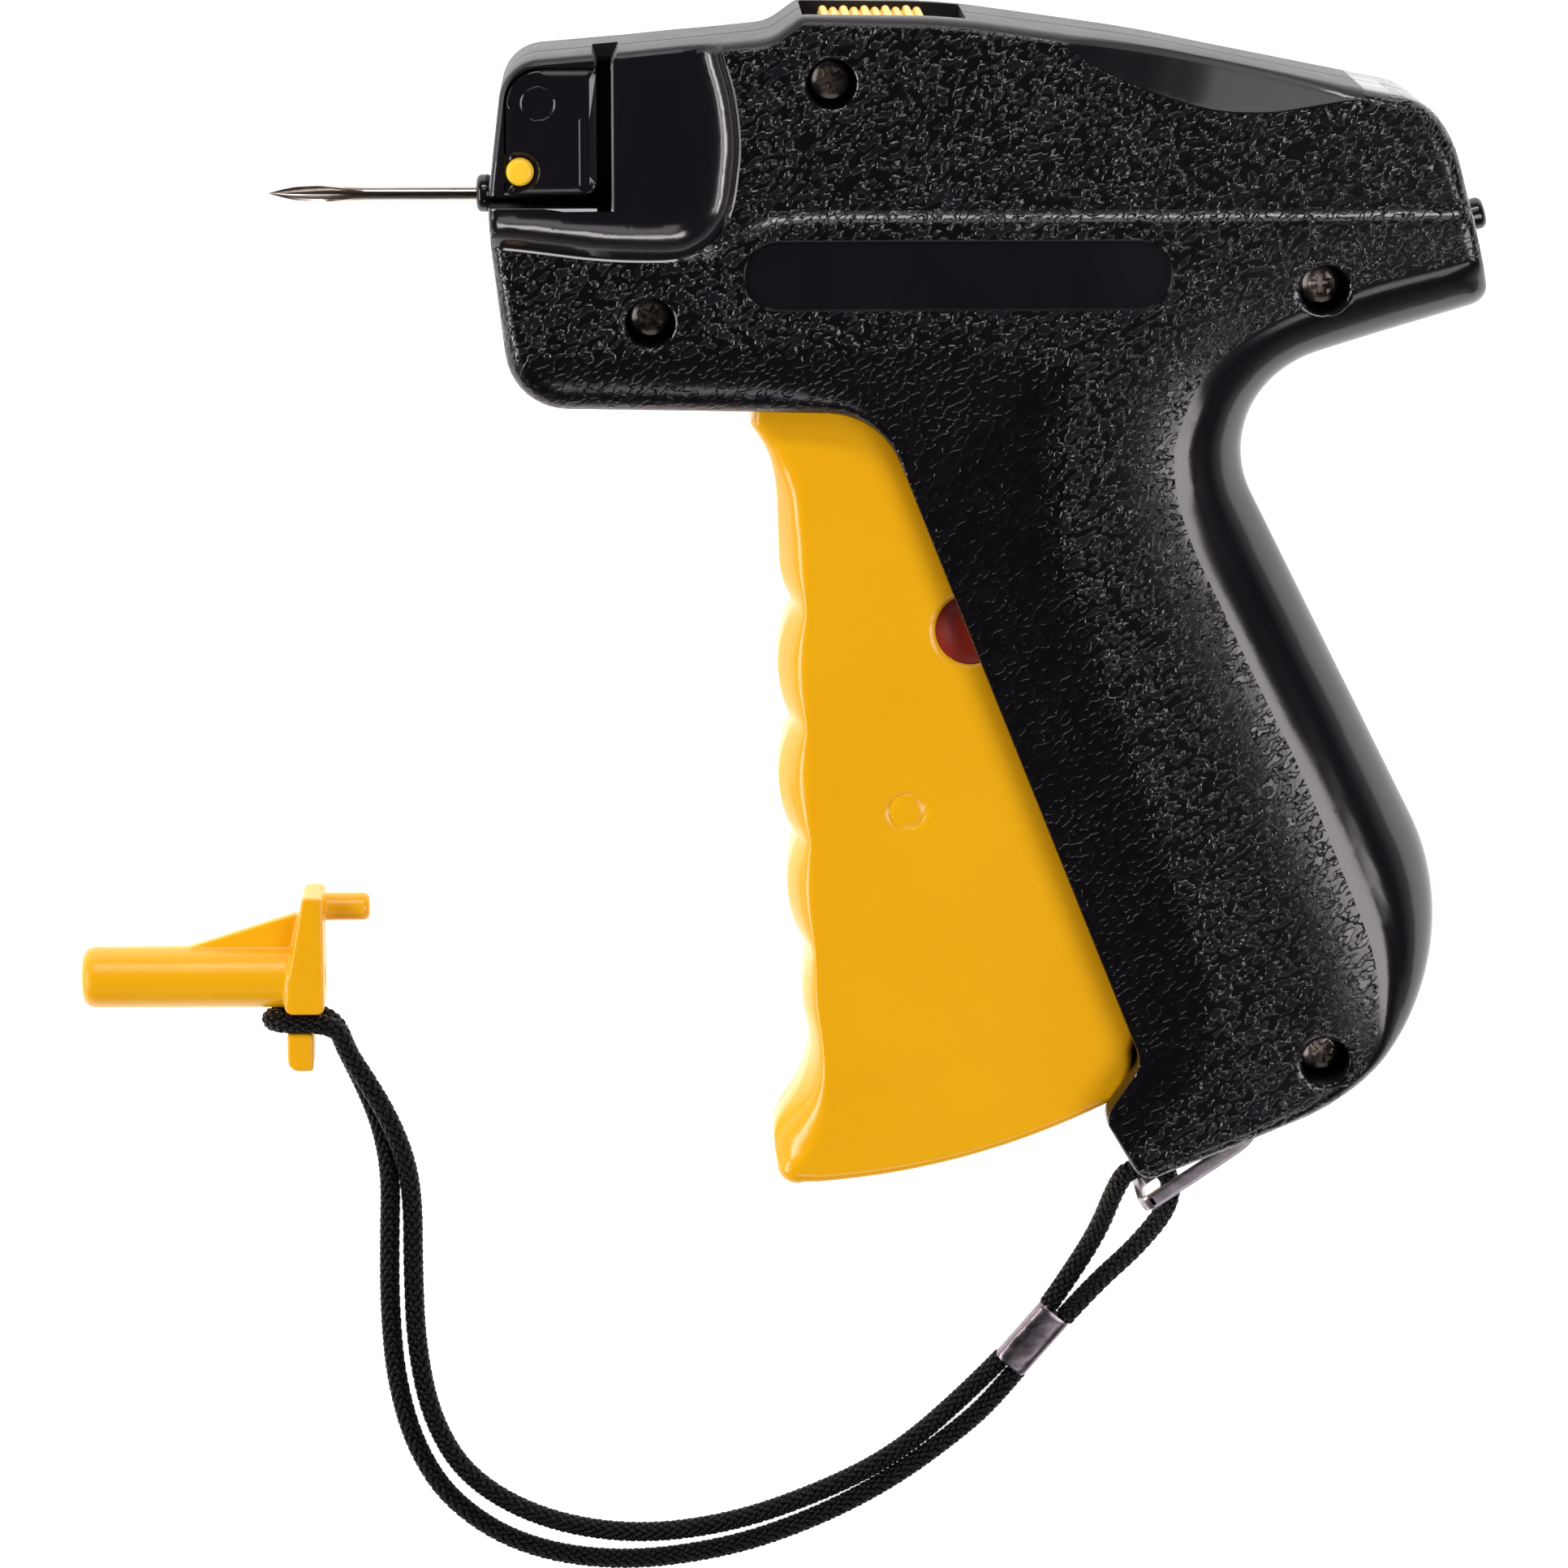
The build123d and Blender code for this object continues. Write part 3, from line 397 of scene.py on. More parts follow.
# A Geometry Nodes tree with named inputs, from the piece's own geometry to its finish
def newTree(name, inputs):
    tree = bpy.data.node_groups.new(name, "GeometryNodeTree")
    for label, kind in (("Geometry", "Geometry"), *inputs.items(), ("Finish", "Material")):
        tree.interface.new_socket(label, in_out="INPUT", socket_type="NodeSocket" + kind)
    tree.interface.new_socket("Geometry", in_out="OUTPUT", socket_type="NodeSocketGeometry")
    return tree, addNode(tree, "NodeGroupInput").outputs


def endTree(tree, shapes, finish):
    join = addNode(tree, "GeometryNodeJoinGeometry")
    for shape in shapes:
        tree.links.new(shape, join.inputs["Geometry"])
    real = output(tree, "GeometryNodeRealizeInstances", {"Geometry": join.outputs["Geometry"]})
    made = output(tree, "GeometryNodeSetMaterial", {"Geometry": real, "Material": finish})
    addNode(tree, "NodeGroupOutput", {"Geometry": made})
    return tree


def useTree(thing, tree, inputs):
    modifier = thing.modifiers.new(tree.name, "NODES")
    modifier.node_group = tree
    for socket in tree.interface.items_tree:
        if socket.in_out == "INPUT" and socket.name in inputs:
            modifier[socket.identifier] = inputs[socket.name]


def oddOnes(tree):  # 1 for every other instance, 0 for the rest
    return calc(tree, "MODULO", output(tree, "GeometryNodeInputIndex"), 2, kind="FunctionNodeIntegerMath")


def sweptWire(tree, curve, radius):  # a round section along a curve, with closed ends
    section = output(tree, "GeometryNodeCurvePrimitiveCircle", {"Resolution": 10, "Radius": radius})
    wire = {"Curve": curve, "Profile Curve": section, "Fill Caps": True}
    return output(tree, "GeometryNodeCurveToMesh", wire)


def placed(tree, points, **shape):  # a shape on each point, turned or picked out as asked
    return output(tree, "GeometryNodeInstanceOnPoints", {"Points": points, **shape})


# ---- plane curves
def asArray(points):  # x and y of each point
    return points if isinstance(points, np.ndarray) else np.array([tuple(p)[:2] for p in points])


def divide(outline, step):  # a closed outline with its points no further apart than step
    out = []
    for a, b in zip(outline, [*outline[1:], outline[0]]):
        count = max(1, ceil((b - a).length / step - 1e-6))
        out += [a.lerp(b, k / count) for k in range(count)]
    return out


# A closed outline from corner points with a radius at each
def roundedLoop(corners, step=0.7):
    loop = []
    for i, (x, y, r) in enumerate(corners):
        here = Vector((x, y))
        before = (Vector(corners[i - 1][:2]) - here).normalized()
        after = (Vector(corners[(i + 1) % len(corners)][:2]) - here).normalized()
        half = before.angle(after) / 2
        if r < 0.05 or half > pi / 2 - 1e-3:
            loop.append(here)
            continue
        centre = here + (before + after).normalized() * r / sin(half)
        start, end = (here + way * r / tan(half) - centre for way in (before, after))
        turn = start.angle_signed(end)
        count = max(2, ceil(abs(turn) * r / step), ceil(abs(turn) / 0.15))
        loop += [centre + Matrix.Rotation(-turn * k / count, 2) @ start for k in range(count + 1)]
    clean = [p for i, p in enumerate(loop) if (p - loop[i - 1]).length > 1e-4]
    return clean[::turnOf(clean)]


# The corners of the same outline, moved inwards by a wall thickness
def inwards(corners, wall):
    turn = turnOf(corners)
    moved = []
    for i, (x, y, r) in enumerate(corners):
        here = Vector((x, y))
        a = (here - Vector(corners[i - 1][:2])).normalized()
        b = (Vector(corners[(i + 1) % len(corners)][:2]) - here).normalized()
        na, nb = Vector((-a.y, a.x)) * turn, Vector((-b.y, b.x)) * turn
        bisector = (na + nb).normalized()
        place = here + bisector * wall / bisector.dot(na)
        convex = (a.x * b.y - a.y * b.x) * turn > 0
        moved.append((place.x, place.y, max(0.6, r - wall if convex else r + wall)))
    return moved


# A soft curve through given points
def softLine(points, step=0.7):
    points = [Vector(p) for p in points]
    padded = [2 * points[0] - points[1], *points, 2 * points[-1] - points[-2]]
    out = []
    for p0, p1, p2, p3 in zip(padded, padded[1:], padded[2:], padded[3:]):
        count = max(2, ceil((p2 - p1).length / step))
        for k in range(count):
            t = k / count
            out.append(0.5 * (2 * p1 + (p2 - p0) * t + (2 * p0 - 5 * p1 + 4 * p2 - p3) * t ** 2
                              + (3 * p1 - p0 - 3 * p2 + p3) * t ** 3))
    return [*out, points[-1]]


def arcThrough(a, m, b, step):  # an arc from a over m to b
    a, m, b = Vector(a), Vector(m), Vector(b)
    d = 2 * (a.x * (m.y - b.y) + m.x * (b.y - a.y) + b.x * (a.y - m.y))
    aa, am, ab = a.dot(a), m.dot(m), b.dot(b)
    centre = Vector(((aa * (m.y - b.y) + am * (b.y - a.y) + ab * (a.y - m.y)) / d,
                     (aa * (b.x - m.x) + am * (a.x - b.x) + ab * (m.x - a.x)) / d))
    start, turn = a - centre, (a - centre).angle_signed(m - centre) + (m - centre).angle_signed(b - centre)
    count = max(3, ceil(abs(turn) * start.length / step))
    return [centre + Matrix.Rotation(-turn * k / count, 2) @ start for k in range(count + 1)]


# Distance from each point to a line, how far along the line it lies, and its side (+1 to the left)
def nearest(points, line, closed=False):
    points, line = asArray(points), asArray(line)
    if closed:
        line = np.vstack([line, line[:1]])
    a, ab = line[:-1], np.diff(line, axis=0)
    size2 = (ab ** 2).sum(1)
    start = np.concatenate([[0], np.cumsum(np.sqrt(size2))])[:-1]
    distance, along, side = (np.empty(len(points)) for _ in range(3))
    for first in range(0, len(points), 4000):
        p = points[first:first + 4000, None, :] - a
        t = np.clip((p * ab).sum(2) / size2, 0, 1)
        gap = p - t[..., None] * ab
        gap2 = (gap ** 2).sum(2)
        k = gap2.argmin(1)
        rows = np.arange(len(k))
        part = slice(first, first + len(k))
        distance[part] = np.sqrt(gap2[rows, k])
        along[part] = start[k] + t[rows, k] * np.sqrt(size2[k])
        side[part] = np.sign(ab[k, 0] * gap[rows, k, 1] - ab[k, 1] * gap[rows, k, 0])
    return distance, along, side


def signedTo(points, line, closed=False):
    distance, _, side = nearest(points, line, closed)
    return distance * np.where(side == 0, 1, side)


# Which points lie inside a loop, further than a gap from it
def within(points, loop, gap):
    distance, _, side = nearest(points, loop, True)
    return (side * turnOf(loop) > 0) & (distance > gap)


# The stretches of a line where keep holds
def stretches(line, keep):
    parts = [[]]
    for p, kept in zip(line, keep):
        if kept:
            parts[-1].append(p)
        elif parts[-1]:
            parts.append([])
    return [part for part in parts if len(part) > 1]


def rollOver(u):  # quarter ellipse: 1 at the edge, 0 at the end of the roundover
    u = np.clip(u, 0, 1)
    return 1 - np.sqrt(np.maximum(0, 1 - (1 - u) ** 2))


def stepUp(value, low, high):
    t = np.clip((value - low) / (high - low), 0, 1)
    return t * t * (3 - 2 * t)


def besideLine(line, gap):  # the same line moved to its left by a gap
    moved = []
    for i, p in enumerate(line):
        along = (line[min(i + 1, len(line) - 1)] - line[max(i - 1, 0)]).normalized()
        moved.append(p + Vector((-along.y, along.x)) * gap)
    clear = nearest(moved, line)[0] > 0.97 * abs(gap) - 1e-4
    return [p for p, ok in zip(moved, clear) if ok]


def circleLoop(at, radius, count):
    turns = [2 * pi * k / count for k in range(count)]
    return [Vector((at[0] + radius * cos(a), at[1] + radius * sin(a))) for a in turns]


def closedRun(loop):
    return [*loop, loop[0]]


# Closed circles about a place, at several gaps from a radius
def circleRuns(at, radius, gaps, count=40):
    return [closedRun(circleLoop(at, radius + gap, count)) for gap in gaps]


# Distance that blends softly round the inside of a bend, still true beside a straight run
def softDistance(points, line, reach=1.3):
    line = asArray(line)
    centre, piece = (line[1:] + line[:-1]) / 2, np.linalg.norm(np.diff(line, axis=0), axis=1)
    run = np.arange(-12, 12, 0.25)
    table = np.linspace(0, 12, 60)
    straight = (np.exp(-np.hypot(table[:, None], run) / reach) * 0.25).sum(1)
    total = np.zeros(len(points))
    for c, size in zip(centre, piece):
        total += size * np.exp(-np.hypot(*(points - c).T) / reach)
    return np.interp(-np.log(total + 1e-9), -np.log(straight), table)


# Width and depth of the roundover for any place along a rim, from a few places on it
def rimTable(shape, rows):
    rows = np.array(rows)
    keys = nearest(rows[:, :2], shape, True)[1]
    order = keys.argsort()
    total = sum((b - a).length for a, b in zip(shape, [*shape[1:], shape[0]]))
    keys = np.concatenate([[keys[order[-1]] - total], keys[order], [keys[order[0]] + total]])
    wide, deep = (np.concatenate([[rows[order[-1], k]], rows[order, k], [rows[order[0], k]]]) for k in (2, 3))
    return lambda along: (np.interp(along, keys, wide), np.interp(along, keys, deep))


# How deep a narrow groove along a line is, from the distance to the line
def groove(distance, deep, wide):
    return deep * np.exp(-(distance / wide) ** 2)


def roundGap(points, at, radius):  # distance to a circle, below zero inside it
    return np.hypot(*(points - at).T) - radius


def dished(points, at, radius, deep, wide):  # the surface runs down a little towards a round hole
    return deep * np.clip(1 - roundGap(points, at, radius) / wide, 0, 1) ** 2


# A closed solid with a sculpted upper face over an outline: rings near the rim, lines along the
# creases and an even fill between them, triangulated, lifted by height and closed by a flat floor.
# loop holds the rim's mesh points and shape the same rim with as few points as its curves need
def sculptedSolid(name, loop, shape, creases, height, floor, fill=0.85, rims=(0.12, 0.3, 0.6, 1.0, 1.5, 2.1),
                  parting=0.0):
    rim = asArray(loop)
    along = np.roll(rim, -1, 0) - np.roll(rim, 1, 0)
    along /= np.linalg.norm(along, axis=1)[:, None]
    inward = np.column_stack([-along[:, 1], along[:, 0]]) * turnOf(rim)
    rings = np.vstack([rim + inward * gap for gap in rims])
    rings = rings[within(rings, shape, 0.93 * np.repeat(rims, len(rim)))]
    low, high = rim.min(0), rim.max(0)
    rows = enumerate(np.arange(low[1], high[1], fill * 0.866))
    grid = np.array([(x + (k % 2) * fill / 2, y) for k, y in rows for x in np.arange(low[0], high[0], fill)])
    free = np.vstack([rings, grid[within(grid, shape, rims[-1] + 0.35)]])
    lines = []
    for crease in creases:
        lines += stretches(crease, within(crease, shape, 0.12))
    for line in lines:
        free = free[nearest(free, line)[0] > 0.16]
    points, edges = [Vector(p) for p in rim], []
    for line in lines:
        edges += [(len(points) + k, len(points) + k + 1) for k in range(len(line) - 1)]
        points += [Vector(p) for p in line]
    points += [Vector(p) for p in free]
    outer = list(range(len(rim)))[::turnOf(rim)]
    flat, _, faces, *_ = delaunay_2d_cdt(points, edges, [outer], 1, 1e-5, False)
    flat, faces = asArray(flat), np.array([tuple(f) for f in faces])
    faces = faces[within(flat[faces].mean(1), shape, 0)]
    a, b, c = (flat[faces[:, k]] for k in range(3))
    turned = ((b - a)[:, 0] * (c - a)[:, 1] - (b - a)[:, 1] * (c - a)[:, 0]) < 0
    faces[turned] = faces[turned][:, ::-1]
    top, count = height(flat), len(flat)
    sides = set()
    for a, b, c in faces.tolist():
        for i, j in ((a, b), (b, c), (c, a)):
            if (j, i) in sides:
                sides.remove((j, i))
            else:
                sides.add((i, j))
    # without a floor the top is mirrored below the middle
    under = 2 * middle - top if floor is None else np.full(count, floor)
    points = np.vstack([np.column_stack([flat, top]), np.column_stack([flat, under])])
    faces = faces.tolist() + (faces[:, ::-1] + count).tolist()
    if parting:  # a small chamfer round the foot of the wall
        foot = {}
        for i, _ in sides:
            foot.setdefault(i, 2 * count + len(foot))
        wall = np.array([(*flat[i], floor + parting) for i in foot])
        for i, j in sides:
            side = (flat[j] - flat[i]) / np.linalg.norm(flat[j] - flat[i])
            points[[i + count, j + count], :2] += 0.5 * parting * np.array([-side[1], side[0]])
        points = np.vstack([points, wall])
        faces += [(j, i, foot[i], foot[j]) for i, j in sides]
        faces += [(foot[j], foot[i], i + count, j + count) for i, j in sides]
    else:
        faces += [(j, i, i + count, j + count) for i, j in sides]
    return meshObject(name, points.tolist(), faces)


# ---- cords: the routes first, then the braid over them
cordRoute = {
    "diameter": 2.5,
    "loop": [
        (17.5, -104.3, 1.25), (13.4, -108.7, 1.25), (3.7, -117.6, 1.25), (-6.6, -123.0, 1.25),
        (-18.9, -127.4, 1.25), (-32.1, -129.0, 1.25), (-44.6, -126.6, 1.25), (-54.2, -120.8, 1.25),
        (-59.0, -112.6, 1.25), (-61.0, -102.2, 1.25), (-61.3, -90.8, 1.25), (-61.2, -81.5, 1.25),
        (-62.1, -75.1, 2.9), (-64.3, -69.0, 4.1), (-67.2, -63.8, 4.4), (-69.5, -60.0, 4.9),
        (-70.6, -55.6, 7.1), (-79.3, -55.6, 7.1), (-79.3, -55.6, 1.7), (-71.6, -55.6, 1.5),
        (-69.6, -61.0, 1.25), (-67.2, -66.0, 1.25), (-65.2, -71.4, 1.25), (-64.1, -78.0, 1.25),
        (-64.4, -86.8, 1.25), (-64.5, -96.6, 1.25), (-63.8, -106.7, 1.25), (-61.3, -116.3, 1.25),
        (-56.4, -124.2, 1.25), (-47.2, -130.4, 1.25), (-34.3, -132.8, 1.25), (-20.0, -131.1, 1.25),
        (-8.0, -127.0, 1.25), (3.0, -121.2, 1.25), (12.9, -113.5, 1.25), (16.9, -109.4, 1.25),
        (19.6, -106.0, 1.25),
    ],
    "eye": [
        (24.0, -96.5, 1.6), (26.6, -92.4, 2.2), (30.2, -85.0, 5.4), (31.8, -78.2, 10.2), (33.4, -74.2, 13.2),
        (38.6, -73.9, 14.2), (39.2, -79.2, 12.6), (35.4, -86.6, 7.2), (29.8, -93.6, 2.6), (26.2, -98.2, 1.6),
    ],
}
braid = {"plaits": 8, "pitch": 0.78, "length": 1.7, "width": 1.0, "height": 0.62, "lean": 36.0, "core": 0.98}


def routeCurve(name, points):
    data = bpy.data.curves.new(name, "CURVE")
    data.dimensions, data.resolution_u = "3D", 24
    spline = data.splines.new("NURBS")
    spline.points.add(len(points) - 1)
    for point, place in zip(spline.points, points):
        point.co = (*[c * mm for c in place], 1.0)
    spline.order_u = 3
    spline.use_endpoint_u = True
    return addObject(name, data)


# One ring of plaits: low leaf shapes round the cord, each leaning to one side
def plaitRing(name, odd):
    count, radius = braid["plaits"], cordRoute["diameter"] / 2
    outline = [(-0.5, 0.0), (-0.22, -0.42), (0.22, -0.42), (0.5, 0.0), (0.22, 0.42), (-0.22, 0.42)]
    points, faces = [], []
    for k in range(count):
        around = 2 * pi * (k + 0.5 * odd) / count
        lean = radians(braid["lean"]) * (1 if (k + odd) % 2 else -1)
        first = len(points)
        for level, shrink in ((-0.3, 1.0), (0.2, 0.8), (0.46, 0.36)):
            for u, v in outline:
                along, across = u * braid["length"] * shrink, v * braid["width"] * shrink
                x = along * cos(lean) - across * sin(lean)
                y = along * sin(lean) + across * cos(lean)
                out = radius - braid["height"] * 0.3 + level * braid["height"] - 0.14 * y * y
                a = around + y / radius
                points.append((cos(a) * out * mm, sin(a) * out * mm, x * mm))
        faces += [tuple(first + 12 + i for i in range(6)), *ringFaces(3, 6, first)]
    return meshObject(name, points, faces)


# Rings of plaits along a route, every other one turned by half a plait, over a solid core
def braidTree():
    tree, given = newTree("braid along a cord", {"Pitch": "Float", "Core radius": "Float",
                                                 "Even ring": "Object", "Odd ring": "Object"})
    steps = {"Curve": given["Geometry"], "Length": given["Pitch"]}
    points = addNode(tree, "GeometryNodeCurveToPoints", steps, mode="LENGTH").outputs
    odd = oddOnes(tree)
    even = calc(tree, "SUBTRACT", 1, odd, kind="FunctionNodeIntegerMath")
    parts = []
    for which, ring in ((odd, "Odd ring"), (even, "Even ring")):
        shape = output(tree, "GeometryNodeObjectInfo", {"Object": given[ring]}, "Geometry")
        parts.append(placed(tree, points["Points"], Selection=which, Instance=shape,
                            Rotation=points["Rotation"]))
    core = sweptWire(tree, given["Geometry"], given["Core radius"])
    return endTree(tree, [*parts, core], given["Finish"])


def makeCord(name, node, route, rings, tree, **ends):
    curve = routeCurve(name + "Route", route)
    path = [v.co.copy() for v in meshOf(curve).vertices]
    length = sum((b - a).length for a, b in zip(path, path[1:]))
    useTree(curve, tree, {"Pitch": braid["pitch"] * mm, "Core radius": braid["core"] * mm, **rings,
                          "Finish": finishes["cord"]})
    cord = addObject(name, meshOf(curve))
    bpy.data.objects.remove(curve)
    cord.data.shade_smooth()
    cord.data.set_sharp_from_angle(angle=radians(60))
    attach(cord, "housing")
    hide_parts(node)
    print(" ", name, "length", round(length / mm, 1), "mm,", len(cord.data.polygons), "faces")


def makeCords(sleeve):
    rings = {"Even ring": plaitRing("evenRing", 0), "Odd ring": plaitRing("oddRing", 1)}
    tree = braidTree()
    makeCord("lanyardLoop", "lanyard_cord", cordRoute["loop"], rings, tree, with_pieces=[sleeve])
    makeCord("lanyardEye", "lanyard_eye", cordRoute["eye"], rings, tree)
    for ring in rings.values():
        bpy.data.objects.remove(ring)


# ---- housing halves
housing = {
    "width": 28.0,
    "middle": 14.0,
    "wall": 2.2,
    "corners": [
        (-46.4, 28.8, 8.0), (-49.4, 53.6, 30.0), (-47.2, 72.2, 5.5), (-31.8, 73.5, 40.0),
        (-14.0, 75.3, 6.0), (-10.2, 78.0, 2.3), (8.0, 77.8, 80.0), (33.0, 74.3, 150.0),
        (56.0, 69.6, 150.0), (68.0, 67.2, 8.0), (71.5, 62.2, 15.0), (76.8, 41.7, 2.4),
        (40.4, 30.6, 13.0), (82.7, -53.0, 27.8), (34.0, -72.3, 2.4), (28.9, -63.6, 2.4),
        (33.8, -56.4, 3.5), (-0.1, 28.0, 10.0),
    ],
    # roundover along the rim: a place near it, then how wide and how deep
    "rimRound": [
        (-40.0, 28.5, 7.0, 3.6), (-47.5, 38.0, 2.6, 2.6), (-49.0, 53.0, 1.8, 1.8), (-45.0, 72.0, 1.8, 1.8),
        (-14.0, 75.5, 1.6, 2.0), (-10.0, 78.0, 1.4, 1.4), (8.0, 77.8, 1.6, 2.0), (56.0, 70.0, 1.8, 2.4),
        (70.0, 65.0, 2.4, 2.4), (74.0, 52.0, 1.6, 1.6), (76.3, 43.0, 1.6, 2.0), (55.0, 35.0, 1.4, 2.0),
        (45.0, 22.0, 1.2, 2.0), (66.0, -22.0, 1.2, 2.0), (74.0, -50.0, 1.4, 2.0), (60.0, -62.0, 2.0, 2.0),
        (48.0, -66.8, 1.6, 1.6), (34.0, -72.0, 1.2, 1.2), (29.5, -63.6, 1.2, 1.2), (33.2, -57.0, 1.2, 1.2),
        (15.0, -7.0, 1.2, 1.2), (5.0, 17.0, 1.8, 1.4), (-2.5, 27.0, 4.0, 2.6), (-15.0, 28.3, 7.0, 3.4),
    ],
    "palmEdge": [
        (80.0, 49.3), (74.3, 47.7), (62.1, 44.7), (52.0, 41.1), (45.0, 37.2), (40.2, 32.3), (37.9, 27.2),
        (36.9, 23.2), (37.2, 18.3), (38.4, 14.0), (40.1, 9.7), (43.2, 3.4), (46.6, -3.7), (49.9, -10.4),
        (53.3, -17.2), (58.6, -29.6), (63.2, -41.4), (64.3, -49.7), (63.2, -56.2), (59.0, -61.5), (54.0, -68.0),
    ],
    "facetEdge": [
        (-62.0, 36.6), (-30.0, 36.8), (-2.0, 36.9), (14.0, 36.8), (20.5, 35.6), (24.0, 31.5), (24.9, 8.8),
        (41.2, -42.0), (42.9, -51.5), (43.0, -55.6), (41.1, -59.1), (36.9, -64.1), (33.9, -68.9), (32.0, -76.0),
    ],
    "facetSlope": 0.16,
    "facetMost": 2.0,
    "ridge": [
        (-60.0, 49.0), (-48.2, 49.0), (-36.0, 47.6), (-28.0, 47.2), (-24.0, 47.3), (-21.0, 48.1), (-19.0, 49.2),
        (-17.0, 50.4), (-15.0, 51.4), (-13.0, 52.1), (-10.5, 52.4), (-5.0, 52.5), (6.0, 52.5), (22.0, 52.5),
        (42.0, 52.5), (62.0, 52.5), (82.0, 52.5),
    ],
    "ridgeStep": 0.86,
    "ridgeRun": 1.5,
    "crown": 0.0068,
    "thumb": [
        (14.0, 80.0), (21.2, 75.4), (23.1, 74.0), (26.7, 71.7), (30.9, 69.7), (34.8, 68.1), (41.3, 66.3),
        (47.8, 66.0), (52.6, 66.6), (58.8, 67.6), (66.0, 68.4), (76.0, 69.5),
    ],
    "thumbSlope": 0.42,
    "scoop": [
        (-60.0, 49.9), (-48.2, 49.6), (-36.0, 48.2), (-28.5, 47.9), (-25.1, 48.2), (-23.0, 49.0), (-21.2, 50.3),
        (-19.8, 52.1), (-18.9, 54.2), (-18.3, 57.4), (-17.9, 62.4), (-18.5, 68.0), (-19.9, 73.4), (-22.0, 82.0),
    ],
    "scoopFloor": 24.0,
    "scoopRoll": 5.6,
    "pill": {"x": (-17.3, 36.2), "y": 45.9, "high": 8.7, "deep": 0.5},
    "wells": [(-6.4, 69.7), (-29.0, 40.0), (55.4, 43.9), (57.4, -56.1)],
    "wellRadius": 3.15,
    "needleAxis": 54.7,
    "palmFall": 1.14, "crownFrom": 10.0, "crownReach": 13.0,
    "ridgeStart": (-27.0, -20.0), "grooveDeep": 0.12, "grooveWide": 0.2,
    "browSpan": (48.5, 56.0), "scoopLip": 0.14, "scoopSoft": (0.2, 2.2), "scoopRim": (1.0, 1.1),
    "wellDish": (0.3, 0.45),
    "satinBand": {"above": 60.0, "before": 60.0, "wide": 1.15, "upright": 0.93},
    # grain depth: a share everywhere, less on the facet by the trigger, more towards the palm
    "etch": {"base": 0.85, "facet": (0.65, -0.5, 2.0), "palm": (0.45, -24.0, -4.0), "palmFrom": 4.0},
}
needleY, middle = housing["needleAxis"], housing["middle"]
triggerPivot = (-9.0, 35.0)
rearPlace, rearTurn = Vector((74.3, 51.3, middle)), radians(14.4953)
rearWay = Vector((cos(rearTurn), sin(rearTurn), 0))
rimShape = roundedLoop(housing["corners"], 1.2)
palmLine, facetLine, ridgeLine, thumbLine, scoopLine = (
    softLine(housing[name]) for name in ("palmEdge", "facetEdge", "ridge", "thumb", "scoop"))
housingRound = rimTable(rimShape, housing["rimRound"])


def pillLoop(grow):
    (x0, x1), y, half = housing["pill"]["x"], housing["pill"]["y"], housing["pill"]["high"] / 2 + grow
    x0, x1 = x0 - grow, x1 + grow
    corners = [(x0, y - half), (x1, y - half), (x1, y + half), (x0, y + half)]
    return roundedLoop([(*c, half - 0.02) for c in corners], 0.6)


# Height of the outer side face over the parting plane, for the left half or for the mirrored right one
def sideHeight(points, left):
    rim, along, _ = nearest(points, rimShape, True)
    wide, deep = housingRound(along)
    palm, facet, ridge = (signedTo(points, line) for line in (palmLine, facetLine, ridgeLine))
    width = np.maximum(rim + np.maximum(palm, 0), 0.5)
    bevel = (np.hypot(np.clip(-facet, 0, None), 1.5) - 1.5) * housing["facetSlope"]
    drops = [deep * rollOver(rim / wide),
             np.where(palm > 0, housing["palmFall"] * width * rollOver(0.03 + 0.93 * rim / width), 0),
             housing["facetMost"] * np.tanh(bevel / housing["facetMost"]),
             np.clip(signedTo(points, thumbLine), 0, None) * housing["thumbSlope"]]
    drop = sum(np.clip(d, 0, None) ** 3 for d in drops) ** (1 / 3)
    run = housing["ridgeRun"]
    start = stepUp(points[:, 0], *housing["ridgeStart"])
    step = start * np.clip(ridge / run, 0, 1)
    if left:  # inside the scoop the step is drawn out
        scoop = signedTo(points, scoopLine)
        step = np.where(scoop > 0, stepUp(points[:, 1], *housing["browSpan"]), step)
        start = np.where(scoop > 0, 0, start)
    drop += housing["ridgeStep"] * step
    for gap in (ridge - run - 0.1, ridge + 0.15):
        drop += start * groove(gap, housing["grooveDeep"], housing["grooveWide"])
    fall = np.clip(palm + housing["crownFrom"], 0, housing["crownReach"])
    drop += housing["crown"] * fall ** 2  # the panel falls a little to the palm
    drop += housing["pill"]["deep"] * stepUp(signedTo(points, pillLoop(0), True), -0.09, 0.09)
    if left:
        for at in housing["wells"]:
            drop += dished(points, at, housing["wellRadius"], *housing["wellDish"])
    height = housing["width"] - drop
    if left:
        rimDeep, rimWide = housing["scoopRim"]
        floor = housing["scoopFloor"] - rimDeep * rollOver(rim / rimWide)
        brow = np.maximum(height - floor - housing["scoopLip"], 0)
        near, gap = scoop > 0, scoop.copy()
        soft = stepUp(scoop[near], *housing["scoopSoft"])
        gap[near] += soft * (softDistance(points[near], scoopLine) - scoop[near])
        cove = rollOver(0.03 + 0.97 * gap / housing["scoopRoll"]) / 0.757
        lip = housing["scoopLip"] * np.clip(1 + scoop / 0.25, 0, 1)
        height = np.where(near, np.minimum(height, floor + brow * cove), height - lip)
    return np.maximum(height, middle + 0.6)


# Lines that the mesh follows, each as a line and its gaps from it
def creaseLines(*spans):
    return [besideLine(line, gap) for line, gaps in spans for gap in gaps]


